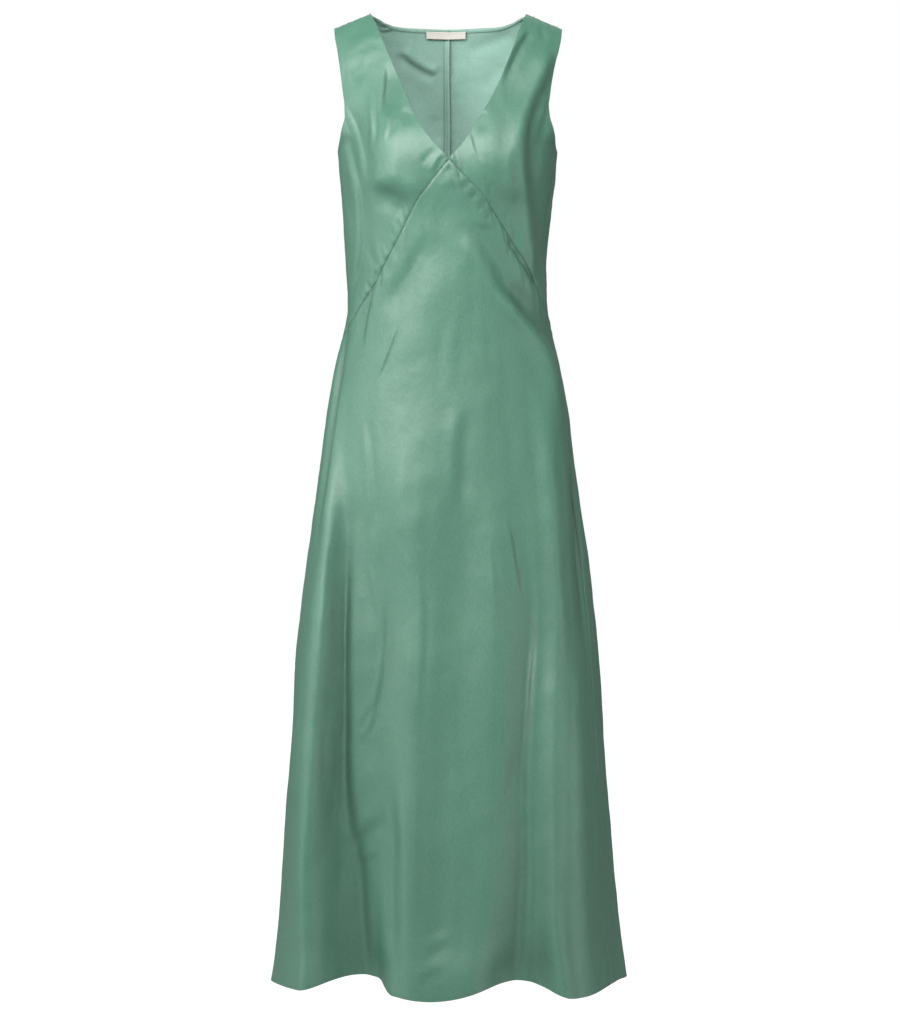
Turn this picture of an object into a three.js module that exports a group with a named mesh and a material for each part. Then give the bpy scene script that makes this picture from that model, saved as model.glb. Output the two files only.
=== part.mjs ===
// A sleeveless slip dress of satin cut on the bias, filled out as if worn: deep V front, two front
// bodice panels, a front skirt that rises to a point at the V, and two full-length back panels.
// Millimetres. +Z up, the front faces -Y, +X is the viewer's right. The origin lies midway between
// the shoulder seams, where the wearer's shoulders carry the dress.
import * as THREE from 'three';

// ---- driving sizes ----
const WALL = 1.5;              // thickness of the cloth
const GAP = 0.3;               // clearance between the edges of two pieces at a seam
const NECK_POINT = { x: 103, z: 10 };    // inner end of the shoulder seam
const SHOULDER_TIP = { x: 151, z: -10 }; // outer end of the shoulder seam
const UNDERARM = -175;         // height of the lowest point of the armhole
const V_POINT = -194.5;        // height of the point of the V neck
const BACK_NECK = -0.5;        // height of the back neckline at the centre
const BINDING_HEIGHT = 5.5;    // turned binding inside the back neckline
const BINDING_WALL = 1.0;
const LABEL = { width: 52.6, height: 10, wall: 0.8, drop: 3.0, centre: -4 };
const FLUTE_START = -430;      // the skirt starts to wave below this height
const FLUTE_FULL = 820;        // and waves fully this far below that

// ---- the form: half widths and depths against the drop below the shoulder line ----
const FORM = [
  // drop,  left, right, front, back
  [0, 173, 171, 0, 0],
  [2, 173, 171, 12, 12.5],
  [7, 173, 171, 21, 22.5],
  [15, 173, 171, 30, 33],
  [30, 173, 171, 42, 47],
  [50, 173, 170, 54, 60],
  [75, 172, 169, 66, 73],
  [100, 170, 167, 77, 84],
  [125, 165, 162, 88, 92],
  [150, 156, 153, 98, 97],
  [172, 146, 143, 105, 100],
  [200, 143.5, 141, 108, 100],
  [234, 141, 137, 105, 97],
  [270, 139, 134.5, 98, 92],
  [313, 137, 130, 93.5, 88],
  [350, 133.5, 128.5, 91, 86],
  [379, 133, 130, 91, 88],
  [406, 137, 137, 93, 93],
  [432, 145, 143, 95, 100],
  [471, 153.5, 151, 98, 111],
  [520, 161.5, 159, 102, 121],
  [571, 168, 165, 106, 128],
  [630, 174.5, 172, 109, 131],
  [708, 184, 182, 113, 132],
  [790, 192.5, 189.5, 119, 133],
  [867, 199, 196, 126, 135],
  [945, 204.5, 201.5, 132, 139],
  [1025, 209.4, 207, 139, 144],
  [1105, 214.5, 212, 145, 149],
  [1183, 221, 218.6, 150, 153],
  [1262, 232, 229, 155, 157],
  [1340, 244, 241, 160, 161],
];
const BUST = { x: 80, z: -182, wide: 40, high: 48, out: 17 };

// waves of the skirt: angle round the body (0 is the front, + towards the viewer's right), how far
// the wave stands out at the hem, and the height of the hem there
const WAVES = [
  // angle, out, hem
  [-180, 8, -1258], [-158, -24, -1241], [-133, 20, -1262], [-110, -20, -1242], [-90, 4, -1257],
  [-58, 14, -1253], [-27, -42, -1238], [-5, 16, -1262], [23, -30, -1242], [45, 14, -1263],
  [70, -4, -1256], [90, 2, -1257], [108, -20, -1242], [131, 20, -1262], [155, -26, -1240], [180, 8, -1258],
];

// the big flutes beside the front, which stand forward of the form: z, angle, how far forward, half width
const FORWARD_LEFT = [
  [-470, -72, 0, 9], [-560, -68, 12, 9], [-700, -64, 27, 9.5], [-880, -63, 37, 10], [-1060, -63, 41, 10.5],
  [-1262, -56, 36, 11], [-1340, -56, 36, 11],
];
const FORWARD_RIGHT = [
  [-400, 66, 0, 9], [-560, 60, 6, 10], [-880, 53, 12, 10], [-1060, 51, 14, 10], [-1262, 47, 12, 11], [-1340, 47, 12, 11],
];

// ---- where the pieces are cut ----
const SIDE_SEAM = [
  // z, left angle, right angle
  [-175, 90, 90], [-300, 92, 90], [-410, 93, 88], [-555, 94, 80], [-735, 95, 72], [-1300, 95, 67],
];
const DIAGONAL_SEAM = [
  // share of the way from the front centre to the side seam, left z, right z
  [0, V_POINT, V_POINT], [0.1, -222.5, -218.5], [0.2, -251.5, -238.5], [0.3, -290, -266],
  [0.4, -322, -291], [0.5, -348, -312], [0.65, -376, -343], [0.8, -401, -373], [1, -424, -408],
];
const V_NECK = [
  // z, left x, right x
  [10, 103, 101.5], [-4, 96.7, 96], [-20, 90, 89.8], [-40, 82.8, 83.4], [-62, 73.7, 75.4],
  [-85, 64.4, 66.3], [-102, 57.4, 58.8], [-118, 51.3, 50.9], [-145, 40.2, 35.3],
  [-160, 29.7, 26.2], [-176, 17, 15.8], [-188, 5, 4.5], [V_POINT, 0, 0],
];
const ARMHOLE = [
  // z, front angle, back angle (from the back centre)
  [-10, 60.8, 60.8], [-24, 59.8, 58.5], [-40, 57.8, 56.2], [-60, 55.8, 54], [-85, 54.5, 52.5],
  [-110, 53.9, 52.3], [-130, 56.2, 55], [-148, 62.8, 61.5], [-162, 71.6, 71], [-170, 80.2, 80],
  [UNDERARM, 90, 90],
];
const BACK_NECKLINE = [
  // share of the way from the centre back to the neck point, z
  [0, BACK_NECK], [0.5, BACK_NECK], [0.67, 0.4], [0.8, 3.5], [0.89, 7.3], [1, 10],
];

// ---- how finely each piece is cut into facets ----
const SEAM_STEPS = 10;     // along each diagonal seam
const STRAP_ROWS = [0, 0.013, 0.05, 0.11, 0.2, 0.31, 0.45, 0.6, 0.74, 0.86, 0.94, 1]; // shoulder to underarm
const BODICE_STEPS = 7;    // across a front bodice panel
const SKIRT_STEPS = 20;    // from the diagonal seam down to the hem
const NECK_STEPS = 5;      // across the back, centre to neck point
const SHOULDER_STEPS = 4;  // across the back, neck point to armhole

// ---- reading the tables ----
// A table is read smoothly and without overshoot between its rows.
function reader(table, column, key = (v) => v) {
  const rows = [...table].sort((p, q) => key(p[0]) - key(q[0]));
  const x = rows.map((r) => key(r[0])), y = rows.map((r) => r[column]);
  const d = x.slice(1).map((v, i) => (y[i + 1] - y[i]) / (v - x[i]));
  const m = x.map((_, i) => {
    if (i === 0) return d[0];
    if (i === x.length - 1) return d[i - 1];
    if (d[i - 1] * d[i] <= 0) return 0;
    const before = x[i] - x[i - 1], after = x[i + 1] - x[i];
    const p = 2 * after + before, q = after + 2 * before;
    return (p + q) / (p / d[i - 1] + q / d[i]);
  });
  return (value) => {
    const v = key(value);
    let i = 0;
    while (i < x.length - 2 && v >= x[i + 1]) i += 1;
    const h = x[i + 1] - x[i], t = THREE.MathUtils.clamp((v - x[i]) / h, 0, 1), s = 1 - t;
    return y[i] * (1 + 2 * t) * s * s + h * m[i] * t * s * s
      + y[i + 1] * t * t * (3 - 2 * t) - h * m[i + 1] * t * t * s;
  };
}
// near the shoulder the depth goes as the root of the drop, so the form is read against that root
const form = ['left', 'right', 'front', 'back'].map((_, i) => reader(FORM, i + 1, Math.sqrt));
const [leftHalf, rightHalf, frontDepth, backDepth] = form;
const sideSeam = { left: reader(SIDE_SEAM, 1), right: reader(SIDE_SEAM, 2) };
const diagonal = { left: reader(DIAGONAL_SEAM, 1), right: reader(DIAGONAL_SEAM, 2) };
const vNeck = { left: reader(V_NECK, 1), right: reader(V_NECK, 2) };
const armhole = { front: reader(ARMHOLE, 1), back: reader(ARMHOLE, 2) };
const backNeckline = reader(BACK_NECKLINE, 1);

const RAD = Math.PI / 180;
const lerp = THREE.MathUtils.lerp;
const forwardFlutes = [FORWARD_LEFT, FORWARD_RIGHT].map((rows) => [1, 2, 3].map((k) => reader(rows, k)));
function forward(angle, z) {
  return forwardFlutes.reduce((sum, [at, out, wide]) => {
    const away = ((angle - at(z) + 180) % 360 + 360) % 360 - 180;
    return sum + out(z) * Math.exp(-((away / wide(z)) ** 2) / 2);
  }, 0);
}

function wave(angle, column) {
  let a = ((angle + 180) % 360 + 360) % 360 - 180, i = 0;
  while (i < WAVES.length - 2 && a >= WAVES[i + 1][0]) i += 1;
  const t = (a - WAVES[i][0]) / (WAVES[i + 1][0] - WAVES[i][0]);
  return lerp(WAVES[i][column], WAVES[i + 1][column], (1 - Math.cos(Math.PI * t)) / 2);
}

// height of the shoulder line above a point, fading out down the body
const shoulderLine = (x) => NECK_POINT.z
  + (SHOULDER_TIP.z - NECK_POINT.z) * (Math.abs(x) - NECK_POINT.x) / (SHOULDER_TIP.x - NECK_POINT.x);
const slope = (drop) => Math.exp(-((drop / 85) ** 2));

// the outside of the cloth at an angle round the body and a drop (as its root)
function surface(angle, root) {
  const drop = root * root, s = Math.sin(angle * RAD), c = Math.cos(angle * RAD);
  const half = (s < 0 ? leftHalf : rightHalf)(drop), depth = (c > 0 ? frontDepth : backDepth)(drop);
  const x = half * s, z = slope(drop) * shoulderLine(x) - drop;
  const swell = Math.max(0, Math.min(1, 2 * c)) * BUST.out
    * Math.exp(-(((z - BUST.z) / BUST.high) ** 2) / 2)
    * (Math.exp(-(((x - BUST.x) / BUST.wide) ** 2) / 2) + Math.exp(-(((x + BUST.x) / BUST.wide) ** 2) / 2));
  const low = THREE.MathUtils.smoothstep((FLUTE_START - z) / FLUTE_FULL, 0, 1) ** 1.25;
  const out = low * wave(angle, 1);
  const away = new THREE.Vector2(s / half, -c / Math.max(depth, 1)).normalize();
  return new THREE.Vector3(x + out * away.x, -depth * c - swell + out * away.y - forward(angle, z), z);
}

// a point of the cloth with its outward direction
function cloth(angle, root) {
  const e = 0.02, low = Math.max(root - e, 0);
  const round = surface(angle + 0.2, root).sub(surface(angle - 0.2, root));
  const down = surface(angle, root + e).sub(surface(angle, low));
  return { point: surface(angle, root), out: down.cross(round).normalize() };
}
function at(angle, z) {
  let low = 0, high = 38;
  for (let i = 0; i < 40; i += 1) {
    const mid = (low + high) / 2;
    if (surface(angle, mid).z > z) low = mid; else high = mid;
  }
  return cloth(angle, (low + high) / 2);
}
function angleOfX(x, z) {
  let angle = 0;
  for (let i = 0; i < 12; i += 1) {
    const drop = Math.max(slope(-z) * shoulderLine(x) - z, 0);
    angle = Math.asin(THREE.MathUtils.clamp(x / (x < 0 ? leftHalf : rightHalf)(drop), -1, 1)) / RAD;
  }
  return angle;
}

// ---- a piece of cloth: a grid of points, thickened inwards ----
// Each edge is drawn in by half the seam clearance first.
function piece(name, rows, { colour, wall = WALL, lift = 0, rough = 0.42 }) {
  const points = [], outs = [], faces = [];
  const ids = rows.map((row) => row.map(({ point, out }) => {
    points.push(point.clone().addScaledVector(out, -lift));
    outs.push(out.clone());
    return points.length - 1;
  }));
  for (let r = 0; r + 1 < ids.length; r += 1) {
    const upper = ids[r], lower = ids[r + 1];
    const count = Math.max(upper.length, lower.length) - 1;
    for (let c = 0; c < count; c += 1) {
      const a = upper[Math.min(c, upper.length - 1)], b = upper[Math.min(c + 1, upper.length - 1)];
      const d = lower[Math.min(c, lower.length - 1)], e = lower[Math.min(c + 1, lower.length - 1)];
      if (a !== b) faces.push([a, d, b]);
      if (d !== e) faces.push([b, d, e]);
    }
  }
  // turn the faces outwards as a whole
  const [i, j, k] = faces[Math.floor(faces.length / 2)];
  const look = points[j].clone().sub(points[i]).cross(points[k].clone().sub(points[i]));
  if (look.dot(outs[i]) < 0) faces.forEach((f) => f.reverse());
  // the edge of the piece, in order
  const next = new Map();
  const seen = new Set(faces.flatMap((f) => f.map((v, n) => `${v},${f[(n + 1) % 3]}`)));
  faces.forEach((f) => f.forEach((v, n) => {
    const w = f[(n + 1) % 3];
    if (!seen.has(`${w},${v}`)) next.set(v, w);
  }));
  const edge = [next.keys().next().value];
  while (next.get(edge[edge.length - 1]) !== edge[0]) edge.push(next.get(edge[edge.length - 1]));
  const inset = edge.map((v, n) => {
    const before = points[edge[(n + edge.length - 1) % edge.length]], after = points[edge[(n + 1) % edge.length]];
    const inA = outs[v].clone().cross(points[v].clone().sub(before)).normalize();
    const inB = outs[v].clone().cross(after.clone().sub(points[v])).normalize();
    const share = Math.max(1 + inA.dot(inB), 0.12);
    return inA.add(inB).multiplyScalar(GAP / 2 / share);
  });
  edge.forEach((v, n) => points[v].add(inset[n]));
  const total = points.length;
  const all = [...points, ...points.map((p, n) => p.clone().addScaledVector(outs[n], -wall))];
  const index = [...faces, ...faces.map(([p, q, r]) => [r + total, q + total, p + total])];
  edge.forEach((v, n) => {
    const w = edge[(n + 1) % edge.length];
    index.push([w, v, v + total], [w, v + total, w + total]);
  });
  const geometry = new THREE.BufferGeometry();
  geometry.setAttribute('position', new THREE.Float32BufferAttribute(all.flatMap((p) => [p.x, p.y, p.z]), 3));
  geometry.setIndex(index.flat());
  geometry.computeVertexNormals();
  const mesh = new THREE.Mesh(geometry, new THREE.MeshStandardMaterial({
    color: colour, roughness: rough, metalness: 0, side: THREE.DoubleSide,
  }));
  mesh.name = name;
  return mesh;
}

const SATIN = 0x76a68f, LABEL_WHITE = 0xded7cc;
const steps = (n) => Array.from({ length: n + 1 }, (_, i) => i / n);
const sign = { left: -1, right: 1 };

// height of the side seam at each row of the bodice, from the diagonal seam up to the underarm
const bodiceSide = (side, share) => lerp(UNDERARM, diagonal[side](1), share);
const hemAt = (angle) => wave(angle, 2);

function frontBodice(side) {
  const rows = [];
  for (const t of STRAP_ROWS) {                  // shoulder seam down to the underarm and the V point
    const inZ = lerp(NECK_POINT.z, V_POINT, t), outZ = lerp(SHOULDER_TIP.z, UNDERARM, t);
    const inner = Math.abs(angleOfX(sign[side] * vNeck[side](inZ), inZ)), outer = armhole.front(outZ);
    rows.push(steps(BODICE_STEPS).map((u) => {
      const angle = sign[side] * lerp(inner, outer, u);
      return t === 0 ? cloth(angle, 0) : at(angle, lerp(inZ, outZ, u));
    }));
  }
  for (const t of steps(SEAM_STEPS).slice(1)) {  // down to the corner where the seams meet
    const inZ = diagonal[side](t), outZ = bodiceSide(side, t);
    const row = steps(BODICE_STEPS).map((u) => {
      const z = lerp(inZ, outZ, u);
      return at(sign[side] * lerp(t * sideSeam[side](inZ), sideSeam[side](outZ), u), z);
    });
    rows.push(t === 1 ? [row[0]] : row);
  }
  return piece(`front_bodice_${side}`, rows, { colour: SATIN });
}

const skirtSide = (side, t) => {
  const top = diagonal[side](1), angle = sign[side] * sideSeam[side](-1257);
  return lerp(top, hemAt(angle), t);
};
function frontSkirt() {
  const shares = [...steps(SEAM_STEPS).reverse().map((s) => -s), ...steps(SEAM_STEPS).slice(1)];
  const rows = steps(SKIRT_STEPS).map((t) => shares.map((share) => {
    const side = share < 0 ? 'left' : 'right';
    const top = diagonal[side](Math.abs(share)), hem = hemAt(share * sideSeam[side](-1257));
    const z = lerp(top, hem, t);
    return at(share * sideSeam[side](z), z);
  }));
  return piece('front_skirt', rows, { colour: SATIN });
}

// the back, as a grid from the centre back outwards; kept so that the binding and label can lie on it
function backGrid(side) {
  const neckAngle = Math.abs(angleOfX(NECK_POINT.x * sign[side], NECK_POINT.z));
  const tip = armhole.back(SHOULDER_TIP.z);
  const shares = [
    ...steps(NECK_STEPS).map((s) => s * neckAngle / tip),
    ...steps(SHOULDER_STEPS).slice(1).map((s) => lerp(neckAngle, tip, s) / tip),
  ];
  const behind = (fromBack) => sign[side] * (180 - fromBack);
  const rows = [];
  for (const t of STRAP_ROWS) {
    const outer = armhole.back(lerp(SHOULDER_TIP.z, UNDERARM, t));
    rows.push(shares.map((share, n) => {
      if (n >= NECK_STEPS && t === 0) return cloth(behind(share * outer), 0);
      const top = n < NECK_STEPS
        ? backNeckline(n / NECK_STEPS)
        : surface(behind(share * tip), 0).z;
      return at(behind(share * outer), lerp(top, UNDERARM, t));
    }));
  }
  for (const t of steps(SEAM_STEPS).slice(1)) {
    const z = bodiceSide(side, t), outer = 180 - sideSeam[side](z);
    rows.push(shares.map((share) => at(behind(share * outer), z)));
  }
  for (const t of steps(SKIRT_STEPS).slice(1)) {
    const outZ = skirtSide(side, t);
    rows.push(shares.map((share) => {
      const hemAngle = behind(share * (180 - sideSeam[side](-1257)));
      const z = lerp(diagonal[side](1), hemAt(hemAngle), t);
      return at(behind(share * (180 - sideSeam[side](z))), share === 1 ? outZ : z);
    }));
  }
  return rows;
}
const backRows = { left: backGrid('left'), right: backGrid('right') };
const back = (side) => piece(`back_${side}`, backRows[side], { colour: SATIN });

// the strip of the back just under the neckline, made from the points of the back panels
function between(p, q, t) {
  return { point: p.point.clone().lerp(q.point, t), out: p.out.clone().lerp(q.out, t).normalize() };
}
function down(rows, column, length) {   // the point a given length below the neckline
  let left = length;
  for (let r = 0; ; r += 1) {
    const p = rows[r][column], q = rows[r + 1][column], reach = p.point.distanceTo(q.point);
    if (left <= reach) return between(p, q, left / reach);
    left -= reach;
  }
}
const stripColumns = [
  ...Array.from({ length: NECK_STEPS + 1 }, (_, i) => ['left', NECK_STEPS - i]),
  ...Array.from({ length: NECK_STEPS }, (_, i) => ['right', i + 1]),
];
function backNeckBinding() {
  const rows = [0, 0.5, 1].map((share) => {
    const row = stripColumns.map(([side, n]) => {
      const [first, second] = backRows[side].map((r) => r[n].point);
      const bend = Math.min(first.distanceTo(second), 0.6 * BINDING_HEIGHT);  // the first facet ends here
      return down(backRows[side], n, [0.4, bend, 0.4 + BINDING_HEIGHT][share * 2]);
    });
    row[0] = between(row[0], row[1], 0.12);
    row[row.length - 1] = between(row[row.length - 1], row[row.length - 2], 0.12);
    return row;
  });
  return piece('back_neck_binding', rows, { colour: SATIN, wall: BINDING_WALL, lift: WALL + 3 * GAP });
}
function neckLabel() {
  const reach = (x, length) => {  // the point of the strip at a given x
    for (let i = 0; i + 1 < stripColumns.length; i += 1) {
      const [a, b] = [stripColumns[i], stripColumns[i + 1]].map(([s, n]) => down(backRows[s], n, length));
      if (x <= b.point.x) return between(a, b, (x - a.point.x) / (b.point.x - a.point.x));
    }
    throw new Error('the label lies outside the neckline');
  };
  const rows = [LABEL.drop, LABEL.drop + LABEL.height].map((length) => [-1, 0, 1].map((s) => (
    reach(s ? LABEL.centre + s * LABEL.width / 2 : 0, length))));
  return piece('neck_label', rows, {
    colour: LABEL_WHITE, wall: LABEL.wall, lift: WALL + BINDING_WALL + 6 * GAP, rough: 0.7,
  });
}

const dress = new THREE.Group();
dress.add(
  frontBodice('left'), frontBodice('right'), frontSkirt(),
  back('left'), back('right'), backNeckBinding(), neckLabel(),
);
export default dress;
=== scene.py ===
# A satin slip dress, filled out with no wearer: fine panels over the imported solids, with their folds, seams, hem
# and stitching. Lengths in the tables are millimetres in the dress's own frame (front towards -Y, +Z up).
import math
import bpy
import numpy as np
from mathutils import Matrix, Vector


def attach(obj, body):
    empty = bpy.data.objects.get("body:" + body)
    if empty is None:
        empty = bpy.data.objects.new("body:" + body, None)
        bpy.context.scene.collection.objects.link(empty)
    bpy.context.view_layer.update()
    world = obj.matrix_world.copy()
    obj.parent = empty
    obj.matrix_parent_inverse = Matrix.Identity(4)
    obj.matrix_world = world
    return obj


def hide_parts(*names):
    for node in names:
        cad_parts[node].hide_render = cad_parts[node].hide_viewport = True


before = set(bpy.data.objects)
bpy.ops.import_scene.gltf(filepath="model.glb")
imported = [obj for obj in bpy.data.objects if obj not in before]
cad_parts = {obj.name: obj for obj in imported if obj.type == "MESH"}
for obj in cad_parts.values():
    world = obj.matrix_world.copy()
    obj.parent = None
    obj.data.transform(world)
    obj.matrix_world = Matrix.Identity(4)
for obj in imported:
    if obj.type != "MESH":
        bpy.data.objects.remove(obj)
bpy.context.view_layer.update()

# ---------------------------------------------------------------- the form, as the solids have it
FORM = np.array([
    # drop, left, right, front, back
    [0, 173, 171, 0, 0], [2, 173, 171, 12, 12.5], [7, 173, 171, 21, 22.5], [15, 173, 171, 30, 33],
    [30, 173, 171, 42, 47], [50, 173, 170, 54, 60], [75, 172, 169, 66, 73], [100, 170, 167, 77, 84],
    [125, 165, 162, 88, 92], [150, 156, 153, 98, 97], [172, 146, 143, 105, 100], [200, 143.5, 141, 108, 100],
    [234, 141, 137, 105, 97], [270, 139, 134.5, 98, 92], [313, 137, 130, 93.5, 88], [350, 133.5, 128.5, 91, 86],
    [379, 133, 130, 91, 88], [406, 137, 137, 93, 93], [432, 145, 143, 95, 100], [471, 153.5, 151, 98, 111],
    [520, 161.5, 159, 102, 121], [571, 168, 165, 106, 128], [630, 174.5, 172, 109, 131], [708, 184, 182, 113, 132],
    [790, 192.5, 189.5, 119, 133], [867, 199, 196, 126, 135], [945, 204.5, 201.5, 132, 139],
    [1025, 209.4, 207, 139, 144], [1105, 214.5, 212, 145, 149], [1183, 221, 218.6, 150, 153],
    [1262, 232, 229, 155, 157], [1340, 244, 241, 160, 161]], float)
NECK_X, NECK_Z, TIP_X, TIP_Z = 103.0, 10.0, 151.0, -10.0
UNDERARM, V_POINT = -175.0, -194.5
BUST_X, BUST_Z, BUST_WIDE, BUST_HIGH, BUST_OUT = 80.0, -182.0, 40.0, 48.0, 17.0
SIDE_SEAM = np.array([[-175, 90, 90], [-300, 92, 90], [-410, 93, 88], [-555, 94, 80], [-735, 95, 72], [-1300, 95, 67]], float)
DIAGONAL = np.array([[0, V_POINT, V_POINT], [0.1, -222.5, -218.5], [0.2, -251.5, -238.5], [0.3, -290, -266],
                     [0.4, -322, -291], [0.5, -348, -312], [0.65, -376, -343], [0.8, -401, -373], [1, -424, -408]])
V_NECK = np.array([[10, 103, 101.5], [-4, 96.7, 96], [-20, 90, 89.8], [-40, 82.8, 83.4], [-62, 73.7, 75.4],
                   [-85, 64.4, 66.3], [-102, 57.4, 58.8], [-118, 51.3, 50.9], [-145, 40.2, 35.3],
                   [-160, 29.7, 26.2], [-176, 17, 15.8], [-188, 5, 4.5], [V_POINT, 0, 0]], float)
ARMHOLE = np.array([[-10, 60.8, 60.8], [-24, 59.8, 58.5], [-40, 57.8, 56.2], [-60, 55.8, 54], [-85, 54.5, 52.5],
                    [-110, 53.9, 52.3], [-130, 56.2, 55], [-148, 62.8, 61.5], [-162, 71.6, 71], [-170, 80.2, 80],
                    [UNDERARM, 90, 90]], float)
BACK_NECK = np.array([[0, -0.5], [0.5, -0.5], [0.67, 0.4], [0.8, 3.5], [0.89, 7.3], [1, 10]], float)
HEM = np.array([[-180, -1258], [-158, -1241], [-133, -1262], [-110, -1242], [-90, -1257], [-58, -1253], [-29, -1238],
                [-22.4, -1240.5], [-19.6, -1257], [-5, -1262], [23, -1242], [45, -1263], [70, -1256], [90, -1257], [108, -1242], [131, -1262],
                [155, -1240], [180, -1258]], float)


def reader(table, column, key=lambda v: v):
    """Reads a table smoothly between its rows, without overshoot."""
    order = np.argsort(key(table[:, 0]))
    x, y = key(table[order, 0]), table[order, column]
    h, d = np.diff(x), np.diff(y) / np.diff(x)
    m = np.zeros(len(x))
    m[0], m[-1] = d[0], d[-1]
    for i in range(1, len(x) - 1):
        if d[i - 1] * d[i] > 0:
            p, q = 2 * h[i] + h[i - 1], h[i] + 2 * h[i - 1]
            m[i] = (p + q) / (p / d[i - 1] + q / d[i])

    def read(value):
        v = key(np.asarray(value, float))
        i = np.clip(np.searchsorted(x, v, side="right") - 1, 0, len(x) - 2)
        s = x[i + 1] - x[i]
        t = np.clip((v - x[i]) / s, 0, 1)
        return (y[i] * (1 + 2 * t) * (1 - t) ** 2 + s * m[i] * t * (1 - t) ** 2
                + y[i + 1] * t * t * (3 - 2 * t) - s * m[i + 1] * t * t * (1 - t))
    return read


root_key = lambda v: np.sqrt(np.clip(v, 0, None))


def form_reader(column):
    """The form's own reading, with the joins between its rows softened from the waist down."""
    read = reader(FORM, column, root_key)
    at = np.arange(0, 1341, 1.0)
    raw = read(at)
    w = np.exp(-0.5 * (np.arange(-60, 61) / 19.0) ** 2)
    soft = np.convolve(np.pad(raw, 60, mode="reflect", reflect_type="odd"), w / w.sum(), mode="valid")
    t = np.clip((at - 205) / 90, 0, 1)
    v = raw + (soft - raw) * t * t * (3 - 2 * t)
    return lambda drop: np.where(np.asarray(drop) < 200, read(drop), np.interp(drop, at, v))


half_l, half_r, deep_f, deep_b = [form_reader(k) for k in (1, 2, 3, 4)]
side_seam = [reader(SIDE_SEAM, 1), reader(SIDE_SEAM, 2)]
diagonal = [reader(DIAGONAL, 1), reader(DIAGONAL, 2)]
v_neck = [reader(V_NECK, 1), reader(V_NECK, 2)]
arm_front, arm_back = reader(ARMHOLE, 1), reader(ARMHOLE, 2)
back_neck = reader(BACK_NECK, 1)


def smooth(t):
    t = np.clip(t, 0, 1)
    return t * t * (3 - 2 * t)


def ring(table, blur):
    """A closed, softened reading of a table by angle."""
    a = np.arange(-180, 180, 1.0)
    i = np.clip(np.searchsorted(table[:, 0], a, side="right") - 1, 0, len(table) - 2)
    t = (a - table[i, 0]) / (table[i + 1, 0] - table[i, 0])
    v = table[i, 1] + (table[i + 1, 1] - table[i, 1]) * (1 - np.cos(np.pi * t)) / 2
    k = np.exp(-0.5 * ((np.arange(360) + 180) % 360 - 180) ** 2 / blur ** 2)
    v = np.real(np.fft.ifft(np.fft.fft(v) * np.fft.fft(k / k.sum())))
    return lambda angle: np.interp((np.asarray(angle) + 180) % 360 - 180, np.append(a, 180), np.append(v, v[0]))


hem_at = ring(HEM, 1.05)

# ---------------------------------------------------------------- the photograph's view, to place folds by
CAM_D, CAM_Z, CAM_X, MM = 3600.0, -641.4, 1.3, 1.317


def seen(p, side=-1):
    """Where a point shows in a 900 x 1018 view of the front (side -1), or of the back, mirrored to match."""
    f = CAM_D / (CAM_D - side * p[..., 1])
    return np.stack([449 + (CAM_X + (p[..., 0] - CAM_X) * f) / MM, 22 - (CAM_Z + (p[..., 2] - CAM_Z) * f) / MM], -1)


def from_view(y, x):
    """Height and angle of the front's cloth at a place in the view."""
    depth = 100.0
    for _ in range(5):
        f = CAM_D / (CAM_D - depth)
        px, pz = CAM_X + ((x - 449) * MM - CAM_X) / f, CAM_Z + ((22 - y) * MM - CAM_Z) / f
        half = float(half_l(-pz) if px < 0 else half_r(-pz))
        sine = max(-1.0, min(1.0, px / half))
        depth = float(deep_f(-pz)) * math.sqrt(1 - sine * sine)
    return pz, math.degrees(math.asin(sine))


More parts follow.
